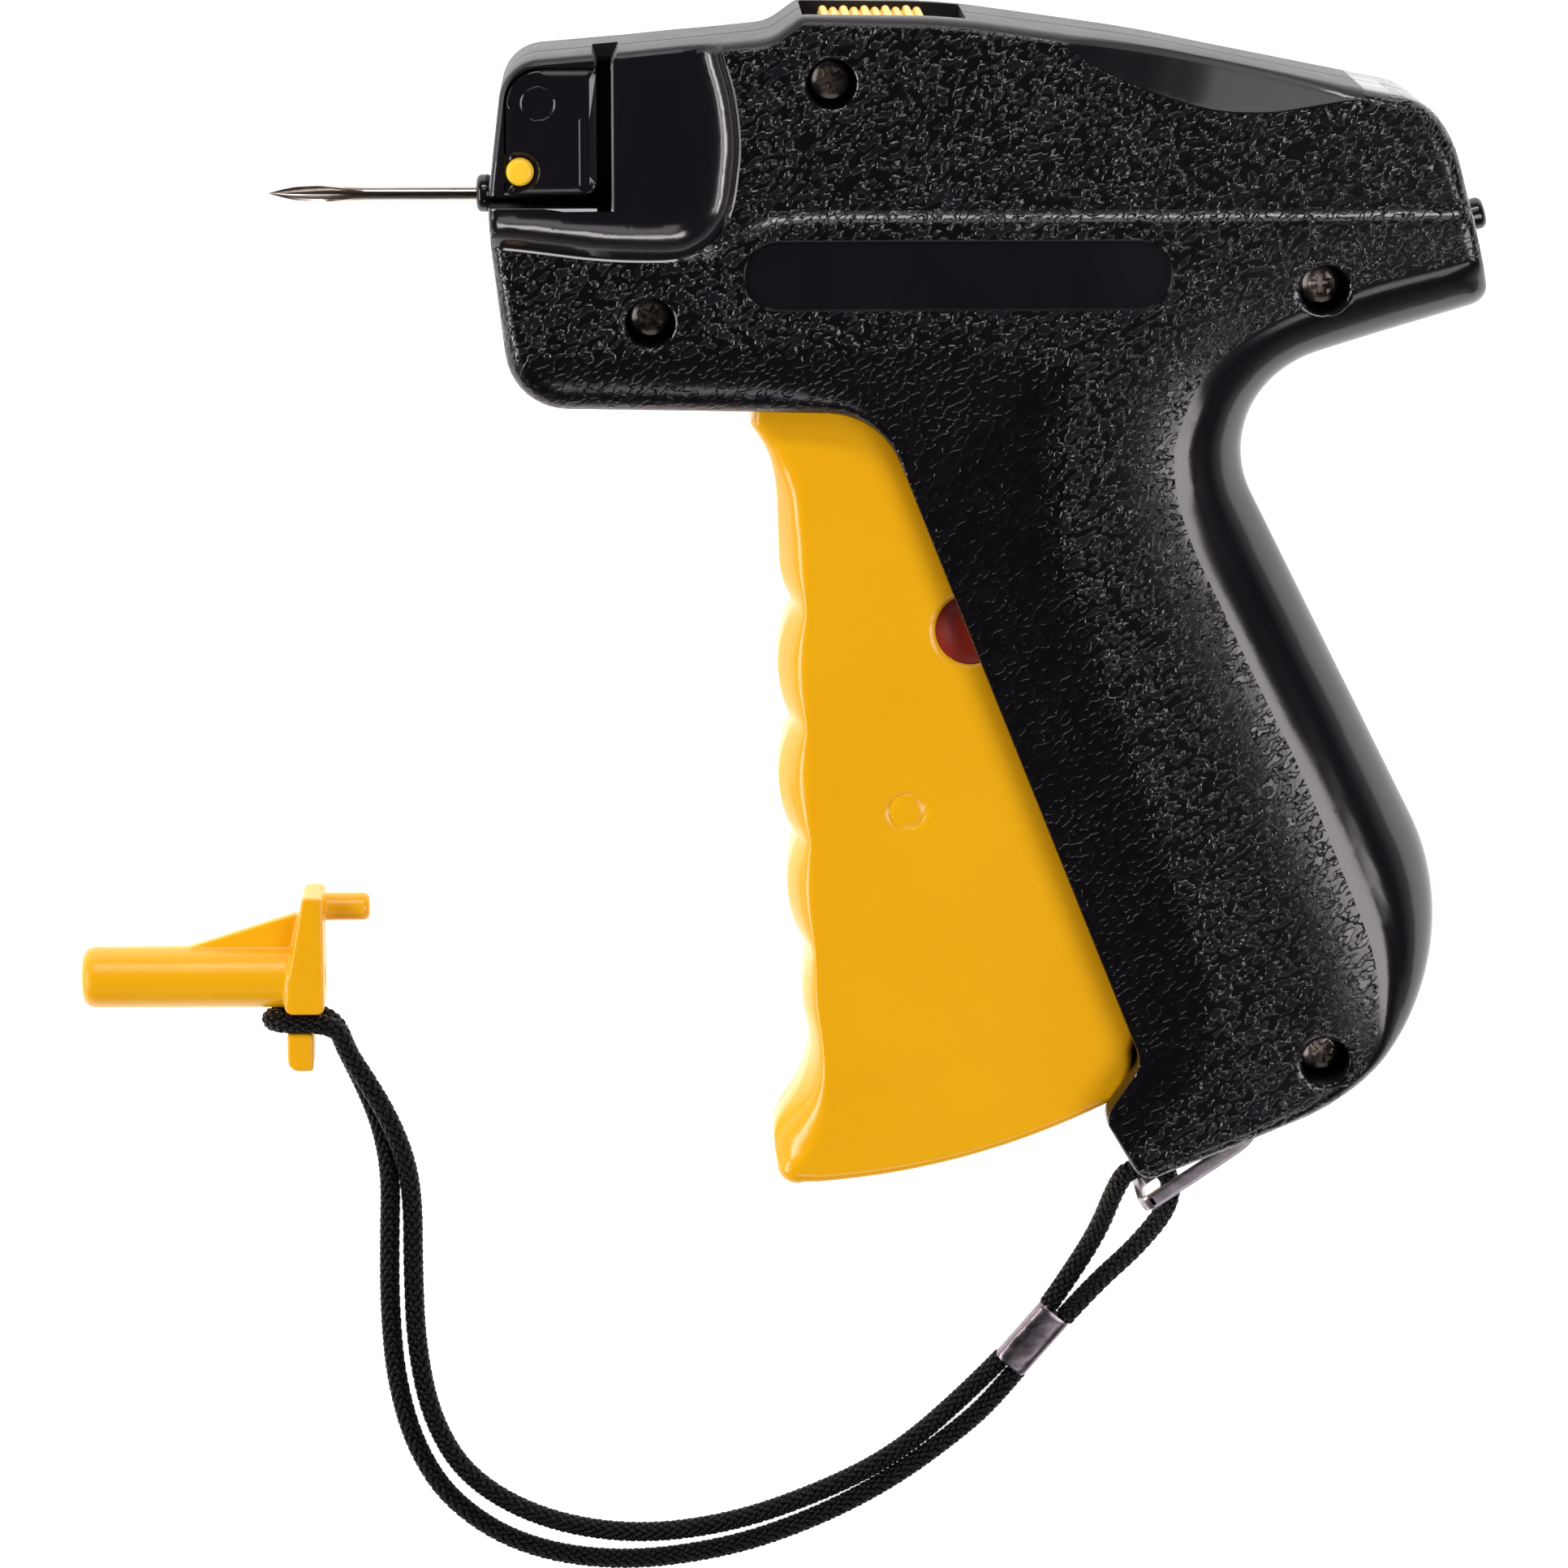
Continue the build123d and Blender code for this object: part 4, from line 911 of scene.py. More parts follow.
creases = creaseLines((palmLine, (-0.1, 0.2, 0.6, 1.1, 1.7, 2.4)), (facetLine, (0.0,)),
                      (thumbLine, (-0.12, 0.12)),
                      (ridgeLine, (-0.4, 0.0, housing["ridgeRun"], housing["ridgeRun"] + 0.4)))
scoopCreases = creaseLines((scoopLine, (-0.25, 0.0, 0.12, 0.4, 0.85, 1.45, 2.2, 3.1, 4.2, 5.6)))

# What is cut out of the halves: places in the plane of the side, heights over the table
cuts = {
    "wellWall": 4.2, "wellFloor": 18.0,
    "screwBores": {True: (1.6, 18.5), False: (1.47, 25.0)},
    "hubBlock": ((-48.3, -38.0), (50.1, 59.3)), "hubSeat": (-51.3, 13.45, 2.42), "rodBore": (-42.0, 90.0, 1.3),
    "gate": [(-18.5, 25.0), (-18.5, 32.0), (6.0, 32.0), (40.0, -50.0), (38.0, -75.0), (20.0, -75.0),
             (-6.0, 20.0)],
    "gateSpan": (4.9, 23.1), "toeReach": 109.21,
    "tagSlot": ((-35.6, -33.8), (53.5, 80.0)), "slotBottom": 11.0, "slotTop": {True: 30.0, False: 17.0},
    "slotEdge": [(-35.6, 54.2), (-33.8, 54.2), (-33.8, 71.8), (-35.6, 71.8)],
    "slotMouth": [(-37.4, 76.4), (-31.4, 76.4), (-33.8, 71.6), (-35.6, 71.6)],
    "sliderPocket": ((-10.0, 10.4), (75.5, 82.0), (4.5, 23.5)),
    "sliderSlot": ((-0.95, 7.75), (68.0, 82.0), (11.85, 16.15)),
    "rearHole": (-6.2, 12.0, 2.1),
    "platePocket": [(-47.15, 54.3, 0.4), (-47.15, 71.45, 4.6), (-33.75, 71.45, 0.4), (-33.75, 54.3, 0.4)],
    "plateFloor": 20.25,
    "needleGroove": ((-52.0, -33.9), (53.9, 55.5), (12.2, 30.0)),
    "grooveEdge": [(-53.0, 53.9), (-33.8, 53.9), (-33.8, 55.5), (-53.0, 55.5)],
    "edgeBottom": 22.0, "edgeFlare": 0.36,
    "buttonWell": ((-45.2, 58.5), 3.0, 13.0, 21.0),
    "bailSlot": [(48.99, -61.6), (46.75, -68.7), (46.9, -70.9), (49.2, -69.6), (51.0, -62.2)],
    "bailSpan": (19.05, 20.35),
    "above": 30.0,
}


def bored(name, start, axis, sizes, sides=48):  # a round hole: where it starts, how long it is, its radius
    begin, length, radius = sizes
    return turnedShape(name, [(0, radius), (length, radius)], start + axis * begin, axis, sides)


def halfShell(left):
    wells, width, wall, above = housing["wells"], housing["width"], housing["wall"], cuts["above"]
    runs = [closedRun(pillLoop(0.12)), closedRun(pillLoop(-0.12))]
    for run in creases:  # lines that would run through the scoop are kept out of it
        runs += stretches(run, signedTo(run, scoopLine) <= -0.45) if left else [run]
    if left:
        runs += scoopCreases
        for at in wells:
            runs += circleRuns(at, housing["wellRadius"], (-0.06, 0.12, 0.48))
    shell = sculptedSolid("leftShell" if left else "rightShell", divide(rimShape, 0.75), rimShape, runs,
                          lambda p: sideHeight(p, left), middle, parting=0.24)
    inner = roundedLoop(inwards(housing["corners"], wall), 1.4)
    cavity = sculptedSolid("cavity", divide(inner, 1.6), inner, [],
                           lambda p: np.minimum(width - wall, sideHeight(p, left) - 1.2), middle - 1.0, 1.8,
                           (0.3, 0.9, 1.8))
    keep = [post("wellWall", at, cuts["wellWall"], middle - 2, above) for at in wells]
    cut(cavity, [*keep, slab("hubSeatBlock", *cuts["hubBlock"], (middle - 2, above))])
    gate = prism("triggerGate", cuts["gate"], *cuts["gateSpan"])
    cut(gate, [post("toeReach", triggerPivot, cuts["toeReach"], 4.0, 24.0, 256)], "INTERSECT")
    low, high = cuts["slotBottom"], cuts["slotTop"][left]  # the right half's side wall stays whole
    edge = (cuts["edgeBottom"], housing["scoopFloor"] + 0.02, cuts["edgeFlare"])
    cutters = [cavity, gate, slab("tagSlot", *cuts["tagSlot"], (low, high))]
    if left:
        cutters.append(flared("slotEdge", cuts["slotEdge"], *edge))
    axis, centre = Vector((1, 0, 0)), Vector((0, needleY, middle))
    cutters += [prism("slotMouth", cuts["slotMouth"], low - 0.1, high + 0.1),
                bored("hubSeat", centre, axis, cuts["hubSeat"]),
                bored("rodBore", centre, axis, cuts["rodBore"], 24),
                bored("rearHole", rearPlace, rearWay, cuts["rearHole"], 40),
                slab("sliderPocket", *cuts["sliderPocket"]), slab("sliderSlot", *cuts["sliderSlot"])]
    if left:
        cutters += [prism("platePocket", roundedLoop(cuts["platePocket"]), cuts["plateFloor"], above),
                    slab("needleGroove", *cuts["needleGroove"]),
                    flared("grooveEdge", cuts["grooveEdge"], *edge), post("buttonWell", *cuts["buttonWell"])]
    boreRadius, boreTop = cuts["screwBores"][left]
    for at in wells:
        if left:
            cutters.append(post("well", at, housing["wellRadius"], cuts["wellFloor"], above + 1, 56))
        cutters.append(post("screwBore", at, boreRadius, 13.0, boreTop, 24))
    cut(shell, [*cutters, prism("bailSlot", cuts["bailSlot"], *cuts["bailSpan"])])
    if not left:  # the right half is the mirror image, below the parting plane
        shell.data.transform(Matrix.Translation((0, 0, width)) @ Matrix.Scale(-1, 4, (0, 0, 1)))
        shell.data.flip_normals()
    return shell


def readRows(items, field):
    rows = np.empty(len(items) * 3)
    items.foreach_get(field, rows)
    return rows.reshape(-1, 3)


def paintShell(shell, left):
    mesh = shell.data
    dress(shell, "grained", "polished", "satin")
    places, facing = readRows(mesh.polygons, "center"), readRows(mesh.polygons, "normal")
    if not left:
        places[:, 2] = housing["width"] - places[:, 2]
    flat = places[:, :2].copy()
    rim = nearest(flat, rimShape, True)[0]
    top = sideHeight(flat, left)
    outer = (places[:, 2] > top - 0.3) | (rim < 0.1)
    smooth = (signedTo(flat, palmLine) > -0.05) | (signedTo(flat, thumbLine) > -0.09)
    smooth |= signedTo(flat, pillLoop(0), True) > -0.09
    if left:
        smooth |= signedTo(flat, scoopLine) > -0.24
    edge, etch = housing["satinBand"], housing["etch"]
    band = (flat[:, 1] > edge["above"]) & (flat[:, 0] < edge["before"]) & (rim < edge["wide"])
    band &= (facing[:, 2] * (1 if left else -1) < edge["upright"]) & (places[:, 2] < top + 0.5)
    index = np.where(band, 2, np.where(outer & ~smooth, 0, 1)).astype(np.int32)
    mesh.polygons.foreach_set("material_index", index)
    flat = readRows(mesh.vertices, "co")[:, :2].copy()
    facet, palm = -signedTo(flat, facetLine), signedTo(flat, palmLine)
    (less, *facetSpan), (more, *palmSpan) = etch["facet"], etch["palm"]
    depth = etch["base"] - less * stepUp(facet, *facetSpan)
    depth += more * stepUp(palm, *palmSpan) * (facet < etch["palmFrom"])
    mesh.attributes.new("grain", "FLOAT", "POINT").data.foreach_set("value", depth.astype(np.float32))


for left in (True, False):
    shell = halfShell(left)
    paintShell(shell, left)
    finishPiece(shell, "housing", "left_housing" if left else "right_housing", 26)
print("housing halves are moulded")


# ---- trigger
triggerShape = {
    "half": 8.5,
    "frontTop": [(-16.4, 26.2), (-14.2, 22.4), (-13.1, 17.5), (-12.8, 12.0), (-12.5, 6.6), (-10.8, 2.2)],
    "cusps": [(-10.8, 2.2), (-10.9, -12.9), (-10.4, -28.1), (-9.0, -42.6)],
    "lobes": [(-12.9, -5.2), (-12.8, -20.4), (-11.6, -35.6)],
    "frontFoot": [(-9.0, -42.6), (-9.7, -49.1), (-8.7, -55.7), (-10.0, -61.2), (-13.2, -66.9), (-13.0, -72.0)],
    "back": [(36.5, -46.0), (37.0, -28.0), (29.6, -5.3), (25.9, 2.0), (22.9, 8.9), (19.0, 20.0), (-5.0, 38.9)],
    # a place on the rim, then width and depth of its roundover
    "rimRound": [
        (-16.0, 30.0, 1.0, 1.0), (-13.5, 20.5, 2.6, 2.6), (-12.7, 8.0, 3.9, 4.2), (-12.0, -20.0, 3.9, 4.4),
        (-10.0, -55.0, 3.9, 4.4), (-12.5, -66.0, 4.4, 4.6), (-13.0, -71.5, 2.6, 2.4), (-8.0, -73.4, 1.3, 1.1),
        (12.0, -70.0, 1.0, 0.9), (31.0, -62.0, 1.0, 0.9), (36.5, -46.0, 1.6, 1.6), (37.0, -28.0, 2.2, 2.2),
        (25.0, 4.0, 1.6, 1.6), (0.0, 35.0, 1.0, 1.0),
    ],
    "frontEdge": [
        (-9.6, -80.0), (-8.2, -70.0), (-6.9, -64.5), (-6.6, -59.5), (-7.1, -54.0), (-7.8, -48.0), (-8.35, -37.0),
        (-8.7, -25.0), (-9.1, -14.0), (-9.25, -2.6), (-9.2, 8.5), (-9.5, 13.5), (-10.0, 18.3), (-11.3, 25.6),
        (-13.6, 32.0),
    ],
    "hollow": [
        (-9.0, 24.0, 2.0), (-8.4, 8.0, 4.0), (-6.5, -30.0, 6.0), (-4.5, -52.0, 6.0), (-7.0, -68.0, 3.0),
        (28.0, -59.5, 3.0), (33.0, -46.0, 3.0), (26.0, -6.0, 3.0), (17.0, 8.0, 3.0), (4.0, 23.0, 3.0),
    ],
    "wall": 2.4,
    "pocket": (11.6, -0.2), "pocketRadius": 4.55, "pocketDepth": 2.0,
    "mark": (3.6, -23.9), "markRadius": 2.3,
    "seat": (12.5, -24.0), "seatTurn": 28.52, "seatHalf": 6.5, "seatThick": 2.4,
    "pivotBore": 2.05, "hub": (28.905, 11.909), "hubRoom": 5.8, "behind": ((20.0, 50.0), (-40.0, -9.0)),
    "footArcs": [  # three places each, and a step
        ((-13.0, -72.0), (-12.2, -73.2), (-9.6, -73.6), 0.4), ((-9.6, -73.6), (11.6, -70.1), (30.6, -62.6), 2.0),
        ((30.6, -62.6), (32.4, -60.0), (33.0, -56.0), 0.8),
    ],
    "topArc": ((-5.0, 38.9), (-9.0, 40.6), (-14.6, 35.0), 1.0),
}


def triggerOutline():
    s = triggerShape
    run = softLine(s["frontTop"], 0.9)
    for a, m, b in zip(s["cusps"], s["lobes"], s["cusps"][1:]):
        run += arcThrough(a, m, b, 0.8)[1:]
    run += softLine(s["frontFoot"], 0.9)[1:]
    for arc in s["footArcs"]:
        run += arcThrough(*arc)[1:]
    return run + [Vector(p) for p in s["back"]] + arcThrough(*s["topArc"])[1:]


triggerRim = triggerOutline()
triggerRound = rimTable(triggerRim, triggerShape["rimRound"])
frontLine = softLine(triggerShape["frontEdge"])


def triggerHeight(points):
    s = triggerShape
    rim, along, _ = nearest(points, triggerRim, True)
    wide, deep = triggerRound(along)
    front = signedTo(points, frontLine)
    inner = np.clip(front, 0, None)  # the grip's roundover ends on a smooth line, not on the scallops
    grip = stepUp(deep, 2.3, 3.2)
    drop = (1 - grip) * deep * rollOver(rim / wide)
    drop += grip * np.where(front > 0, deep * (inner / (rim + inner + 1e-6)) ** 2, 0)
    mark = roundGap(points, s["mark"], s["markRadius"])
    drop += groove(mark, 0.14, 0.16) + 0.05 * (mark < 0)
    drop += dished(points, s["pocket"], s["pocketRadius"], 0.4, 0.7)
    return middle + s["half"] - drop


def makeTrigger():
    s = triggerShape
    runs = circleRuns(s["mark"], s["markRadius"], (-0.3, -0.12, 0.0, 0.12, 0.3), 36)
    runs += circleRuns(s["pocket"], s["pocketRadius"], (-0.06, 0.25, 0.75), 44)
    runs += creaseLines((frontLine, (-0.3, 0.0, 0.3, 0.7, 1.2, 1.8)))
    body = sculptedSolid("triggerBody", divide(triggerRim, 0.8), triggerRim, runs, triggerHeight,
                         None, 1.0, (0.12, 0.3, 0.55, 0.9, 1.3, 1.8))
    low, high = middle - s["half"] + s["wall"], middle + s["half"] - s["wall"]
    hollow = prism("hollow", roundedLoop(s["hollow"]), low, high)
    turn, thick, half = Matrix.Rotation(-radians(s["seatTurn"]), 2), s["seatThick"], s["seatHalf"]
    corners = [Vector(c) for c in ((-thick, -half), (0, -half), (0, half), (-thick, half))]
    seat = prism("seat", [Vector(s["seat"]) + turn @ c for c in corners], low - 0.5, high + 0.5)
    cut(hollow, [slab("behind", *s["behind"], (low, high))], "UNION")
    cut(hollow, [seat])
    top, radius = middle + s["half"], s["pocketRadius"]
    dish = [(0.0, 2.6), (0.35, 3.9), (0.8, radius), (6.0, radius)]
    pocket = turnedShape("pocket", dish, (*s["pocket"], top - s["pocketDepth"]), (0, 0, 1))
    width = housing["width"]
    cut(body, [hollow, pocket, post("pivotBore", triggerPivot, s["pivotBore"], 0.0, width),
               post("hubRoom", s["hub"], s["hubRoom"], 0.0, width)])
    dress(body, "trigger", "paintedShade")
    # the pocket's walls and floor take the red-brown painted shade of the trigger's dim inside
    for face in body.data.polygons:
        x, y, z = face.center
        inPocket = hypot(x - s["pocket"][0], y - s["pocket"][1]) < radius + 0.05
        face.material_index = int(inPocket and top - 3.0 < z < top - 0.6)
    finishPiece(body, "trigger", "trigger", 40)


makeTrigger()
print("trigger is moulded")


# ---- needle, its collar, the head plate and the lock button
needleShape = {
    # along the axis: x, outer radius, half the opening in degrees, bore as a share of the radius, axis sinks by
    "stations": [
        (-77.2, 0.04, 80.0, 0.5, 0.25), (-76.4, 0.26, 82.0, 0.45, 0.2), (-75.3, 0.56, 80.0, 0.5, 0.14),
        (-73.8, 0.88, 74.0, 0.6, 0.08), (-72.2, 1.04, 68.0, 0.66, 0.03), (-70.6, 1.16, 62.0, 0.7, 0.0),
        (-69.2, 1.18, 52.0, 0.72, 0.0), (-67.8, 1.15, 40.0, 0.72, 0.0), (-66.4, 1.08, 29.0, 0.72, 0.0),
        (-64.8, 1.0, 22.0, 0.72, 0.0), (-60.0, 1.0, 21.0, 0.72, 0.0), (-50.5, 1.0, 21.0, 0.72, 0.0),
        (-38.0, 1.0, 21.0, 0.72, 0.0),
    ],
    "rings": [(-77.2, -64.8, 40), (-62.0, -38.0, 13)], "arcPoints": 20,
}
collar = {
    "from": -50.9,
    "profile": [(0.0, 1.45), (0.05, 1.85), (0.25, 2.2), (0.6, 2.4), (1.45, 2.4), (1.6, 2.3), (12.9, 2.3),
                (12.9, 1.05), (0.35, 1.05), (0.1, 1.15)],
}


def makeNeedle():
    n, table = needleShape["arcPoints"], np.array(needleShape["stations"])
    points = []
    xs = np.concatenate([np.linspace(*span) for span in needleShape["rings"]])
    for x in xs:
        radius, gap, bore, sink = (np.interp(x, table[:, 0], table[:, k]) for k in range(1, 5))
        angles = [radians(gap + (360 - 2 * gap) * k / n) for k in range(n + 1)]
        ring = [(a, radius) for a in angles] + [(a, radius * bore) for a in reversed(angles)]
        points += [(x, needleY + r * sin(a), middle - sink + r * cos(a)) for a, r in ring]
    size = 2 * (n + 1)
    faces = ringFaces(len(xs), size)
    for first, turn in ((0, -1), ((len(xs) - 1) * size, 1)):
        last = first + size - 1
        faces += [(first + i, first + i + 1, last - 1 - i, last - i)[::turn] for i in range(n)]
    needle = meshObject("needleTube", points, faces)
    finishPiece(needle, "housing", "needle", 50, "needle")
    hub = turnedShape("needleCollar", collar["profile"], (collar["from"], needleY, middle), (1, 0, 0), 48, True)
    finishPiece(hub, "housing", "needle_hub", 40, "polished")


plateShape = {
    "corners": [(-46.95, 55.6, 0.7), (-35.62, 55.6, 1.3), (-35.62, 71.25, 0.5), (-46.95, 71.25, 4.4)],
    "low": 20.35, "high": 23.75,
    "mark": (-42.8, 67.0), "markRadius": 2.1,
    "button": (-45.2, 58.5), "buttonRadius": 1.75, "buttonFoot": 19.1,
    "ribs": {"x": (-38.4, -36.5), "y": (56.2, 67.0), "pitch": 0.62, "high": 0.08},
    "scratch": {"x": (-40.6, -39.9), "y": (57.4, 62.4), "pitch": 0.7, "high": 0.06},
}


def plateHeight(points):
    s = plateShape
    drop = 0.45 * rollOver(nearest(points, plateRim, True)[0] / 0.45)
    drop += groove(roundGap(points, s["mark"], s["markRadius"]), 0.09, 0.13)
    drop += 0.3 * stepUp(-roundGap(points, s["button"], s["buttonRadius"]), -0.75, -0.45)
    for rib in (s["ribs"], s["scratch"]):
        x, y = points.T
        end = stepUp(x, rib["x"][0] - 0.1, rib["x"][0]) * (1 - stepUp(x, rib["x"][1], rib["x"][1] + 0.1))
        end *= stepUp(y, rib["y"][0], rib["y"][0] + 0.4) * (1 - stepUp(y, rib["y"][1] - 2.0, rib["y"][1]))
        drop -= rib["high"] * end * np.clip(np.cos(2 * pi * (x - rib["x"][0]) / rib["pitch"]), 0, 1) ** 2
    return s["high"] - drop


plateRim = roundedLoop(plateShape["corners"], 0.4)


def makePlate():
    s, r = plateShape, plateShape["buttonRadius"]
    plate = sculptedSolid("headPlate", plateRim, plateRim, circleRuns(s["mark"], s["markRadius"], (0.0,)),
                          plateHeight, s["low"], 0.2, (0.06, 0.15, 0.3, 0.45))
    cut(plate, [post("buttonBore", s["button"], r + 0.15, 18.0, 25.0)])
    finishPiece(plate, "housing", "needle_head_plate", 35, "polished")
    profile = [(0.0, r + 0.8), (1.15, r + 0.8), (1.15, r), (4.65, r), (4.95, r - 0.12), (5.12, r - 0.4),
               (5.2, r - 0.8), (5.14, 0.6), (5.1, 0.05)]
    button = turnedShape("lockButton", profile, (*s["button"], s["buttonFoot"]), (0, 0, 1), 48)
    finishPiece(button, "lock_button", "needle_lock_button", 40, "button")


makeNeedle()
makePlate()
print("needle, collar, plate and lock button are in the nose")


# ---- top slider: a plate with ribs set along it by Geometry Nodes
sliderShape = {"start": -7.6, "length": 13.3, "width": 15.6, "base": 75.6, "top": 76.85, "ribs": 10,
               "ribRadius": 0.56, "rise": 0.18, "neck": 1.2, "neckHalf": 2.0, "neckSpan": (72.9, 75.9),
               "footReach": (3.0, 5.0), "footSpan": (71.8, 73.2)}


# Ribs in a row: every other one stands a little lower
def ribTree():
    tree, given = newTree("thumb ribs", {"Ribs": "Int", "Length": "Float", "Width": "Float",
                                         "Rib radius": "Float", "Rise": "Float", "Start": "Vector"})
    pitch = calc(tree, "DIVIDE", given["Length"], given["Ribs"])
    step = output(tree, "ShaderNodeCombineXYZ", {"X": pitch})
    half = output(tree, "ShaderNodeVectorMath", {0: step, "Scale": 0.5}, operation="SCALE")
    first = calc(tree, "ADD", given["Start"], half, kind="ShaderNodeVectorMath")
    line = {"Count": given["Ribs"], "Start Location": first, "Offset": step}
    row = output(tree, "GeometryNodeMeshLine", line)
    drop = calc(tree, "MULTIPLY", calc(tree, "MULTIPLY", oddOnes(tree), given["Rise"]), -1.0)
    shift = output(tree, "ShaderNodeCombineXYZ", {"Y": drop})
    places = output(tree, "GeometryNodeSetPosition", {"Geometry": row, "Offset": shift})
    rod = output(tree, "GeometryNodeMeshCylinder", {"Vertices": 16, "Radius": given["Rib radius"],
                                                    "Depth": given["Width"]})
    return endTree(tree, [placed(tree, places, Instance=rod), given["Geometry"]], given["Finish"])


def makeSlider():
    s = sliderShape

    def block(name, reach, rise, half):  # a block about the neck, in the middle of the width
        return slab(name, (s["neck"] - reach, s["neck"] + reach), rise, (middle - half, middle + half))

    low, high = middle - s["width"] / 2 - 0.2, middle + s["width"] / 2 + 0.2
    body = slab("thumbSlider", (s["start"], s["start"] + s["length"]), (s["base"], s["top"]), (low, high))
    cut(body, [block("neck", s["neckHalf"], s["neckSpan"], s["neckHalf"]),
               block("foot", s["footReach"][0], s["footSpan"], s["footReach"][1])], "UNION")
    bevel = body.modifiers.new("soft edges", "BEVEL")
    bevel.width, bevel.segments, bevel.limit_method = 0.2, 2, "ANGLE"
    useTree(body, ribTree(), {"Ribs": s["ribs"], "Length": s["length"], "Width": s["width"], "Rise": s["rise"],
                              "Rib radius": s["ribRadius"], "Start": (s["start"], s["top"] + 0.09, middle),
                              "Finish": finishes["slider"]})
    bake(body)
    finishPiece(body, "top_slider", "top_slider", 40)


makeSlider()


# ---- rear button, screws and the springs under the two buttons
rearButton = {"radius": 2.05, "flange": 3.05, "inner": -3.7, "proud": 2.7}
screwShape = {"head": 2.7, "top": 22.2, "seat": 18.0, "shank": 1.45, "foot": 4.0, "slot": (2.4, 0.4, 1.1, 0.5),
              "turns": (20, 37)}
springs = {  # each spring stands on its foot and runs along its axis
    "rearSpring": {"node": "rear_button_spring", "joint": "rear_button_push", "turns": 5.0, "radius": 1.9,
                   "wire": 0.5, "height": 5.9, "foot": rearPlace - rearWay * 9.9, "axis": rearWay,
                   "travel": 1.6},
    "lockSpring": {"node": "lock_button_spring", "joint": "lock_button_push", "turns": 4.0, "radius": 1.2,
                   "wire": 0.4, "height": 4.6, "foot": Vector((-45.2, 58.5, 14.25)), "axis": Vector((0, 0, 1)),
                   "travel": 1.2},
}


def makeRearButton():
    s = rearButton
    reach, r, flange = s["proud"] - s["inner"], s["radius"], s["flange"]
    profile = [(0, flange - 0.2), (0.2, flange), (1.1, flange), (1.2, flange - 0.1), (1.2, r),
               (reach - 0.8, r), (reach - 0.5, r - 0.08), (reach - 0.22, r - 0.28), (reach - 0.05, r - 0.58),
               (reach, r - 0.9), (reach - 0.04, 0.9), (reach - 0.12, 0.3), (reach - 0.14, 0.02)]
    button = turnedShape("rearButton", profile, rearPlace + rearWay * s["inner"], rearWay, 48)
    finishPiece(button, "rear_button", "rear_button", 45, "polished")


# One screw on each well's floor, each turned to its own angle
def screwTree():
    tree, given = newTree("screws in wells", {"Screw": "Object", "First turn": "Float", "Turn step": "Float"})
    order = output(tree, "GeometryNodeInputIndex")
    angle = calc(tree, "MULTIPLY_ADD", order, given["Turn step"], given["First turn"])
    turn = output(tree, "ShaderNodeCombineXYZ", {"Z": angle})
    shape = output(tree, "GeometryNodeObjectInfo", {"Object": given["Screw"]}, "Geometry")
    return endTree(tree, [placed(tree, given["Geometry"], Instance=shape, Rotation=turn)], given["Finish"])


def makeScrews():
    s = screwShape
    h, top, seat = s["head"], s["top"] - s["foot"], s["seat"] - s["foot"]
    profile = [(0, s["shank"] - 0.4), (0.5, s["shank"]), (seat, s["shank"]), (seat, h), (top - 0.9, h),
               (top - 0.5, h - 0.1), (top - 0.2, h - 0.4), (top - 0.03, h - 0.9), (top, h - 1.4), (top, 0.05)]
    screw = turnedShape("screw", profile, (0, 0, s["foot"]), (0, 0, 1), 36)
    long, wide, deep, slope = s["slot"]
    square = [(-1, -1), (1, -1), (1, 1), (-1, 1)]
    for u, v in ((long / 2, wide / 2), (wide / 2, long / 2)):
        rings = [[(x * (u + grow), y * (v + grow), s["top"] + rise) for x, y in square]
                 for grow, rise in ((0, -deep), (slope, 0.01))]
        cut(screw, [meshObject("arm", rings[0] + rings[1], [(3, 2, 1, 0), (4, 5, 6, 7), *ringFaces(2, 4)])])
    places = meshObject("screws", [(*at, 0) for at in housing["wells"]], [])
    first, step = (radians(turn) for turn in s["turns"])
    useTree(places, screwTree(), {"Screw": screw, "First turn": first, "Turn step": step,
                                  "Finish": finishes["screw"]})
    bake(places)
    bpy.data.objects.remove(screw)
    finishPiece(places, "housing", "housing_screws", 18)


# A wire coil: a spiral curve with a round section
def coilTree():
    tree, given = newTree("wire coil", {"Turns": "Float", "Coil radius": "Float", "Height": "Float",
                                        "Wire radius": "Float"})
    radius = given["Coil radius"]
    spiral = output(tree, "GeometryNodeCurveSpiral", {"Resolution": 28, "Rotations": given["Turns"],
                                                      "Height": given["Height"], "Start Radius": radius,
                                                      "End Radius": radius})
    return endTree(tree, [sweptWire(tree, spiral, given["Wire radius"])], given["Finish"])


def makeSprings():
    tree = coilTree()
    for name, s in springs.items():
        spring = meshObject(name, [(0, 0, 0)], [])
        useTree(spring, tree, {"Turns": s["turns"], "Coil radius": s["radius"], "Height": s["height"],
                               "Wire radius": s["wire"] / 2, "Finish": finishes["spring"]})
        bake(spring)
        axis, foot = s["axis"], s["foot"]
        spring.data.transform(Matrix.Translation(foot) @ axis.to_track_quat("Z", "Y").to_matrix().to_4x4())
        finishPiece(spring, "housing", s["node"], 50)
        tuple(axis)
        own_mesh(spring)


makeRearButton()
makeScrews()
makeSprings()
print("slider, rear button, screws and button springs are in")


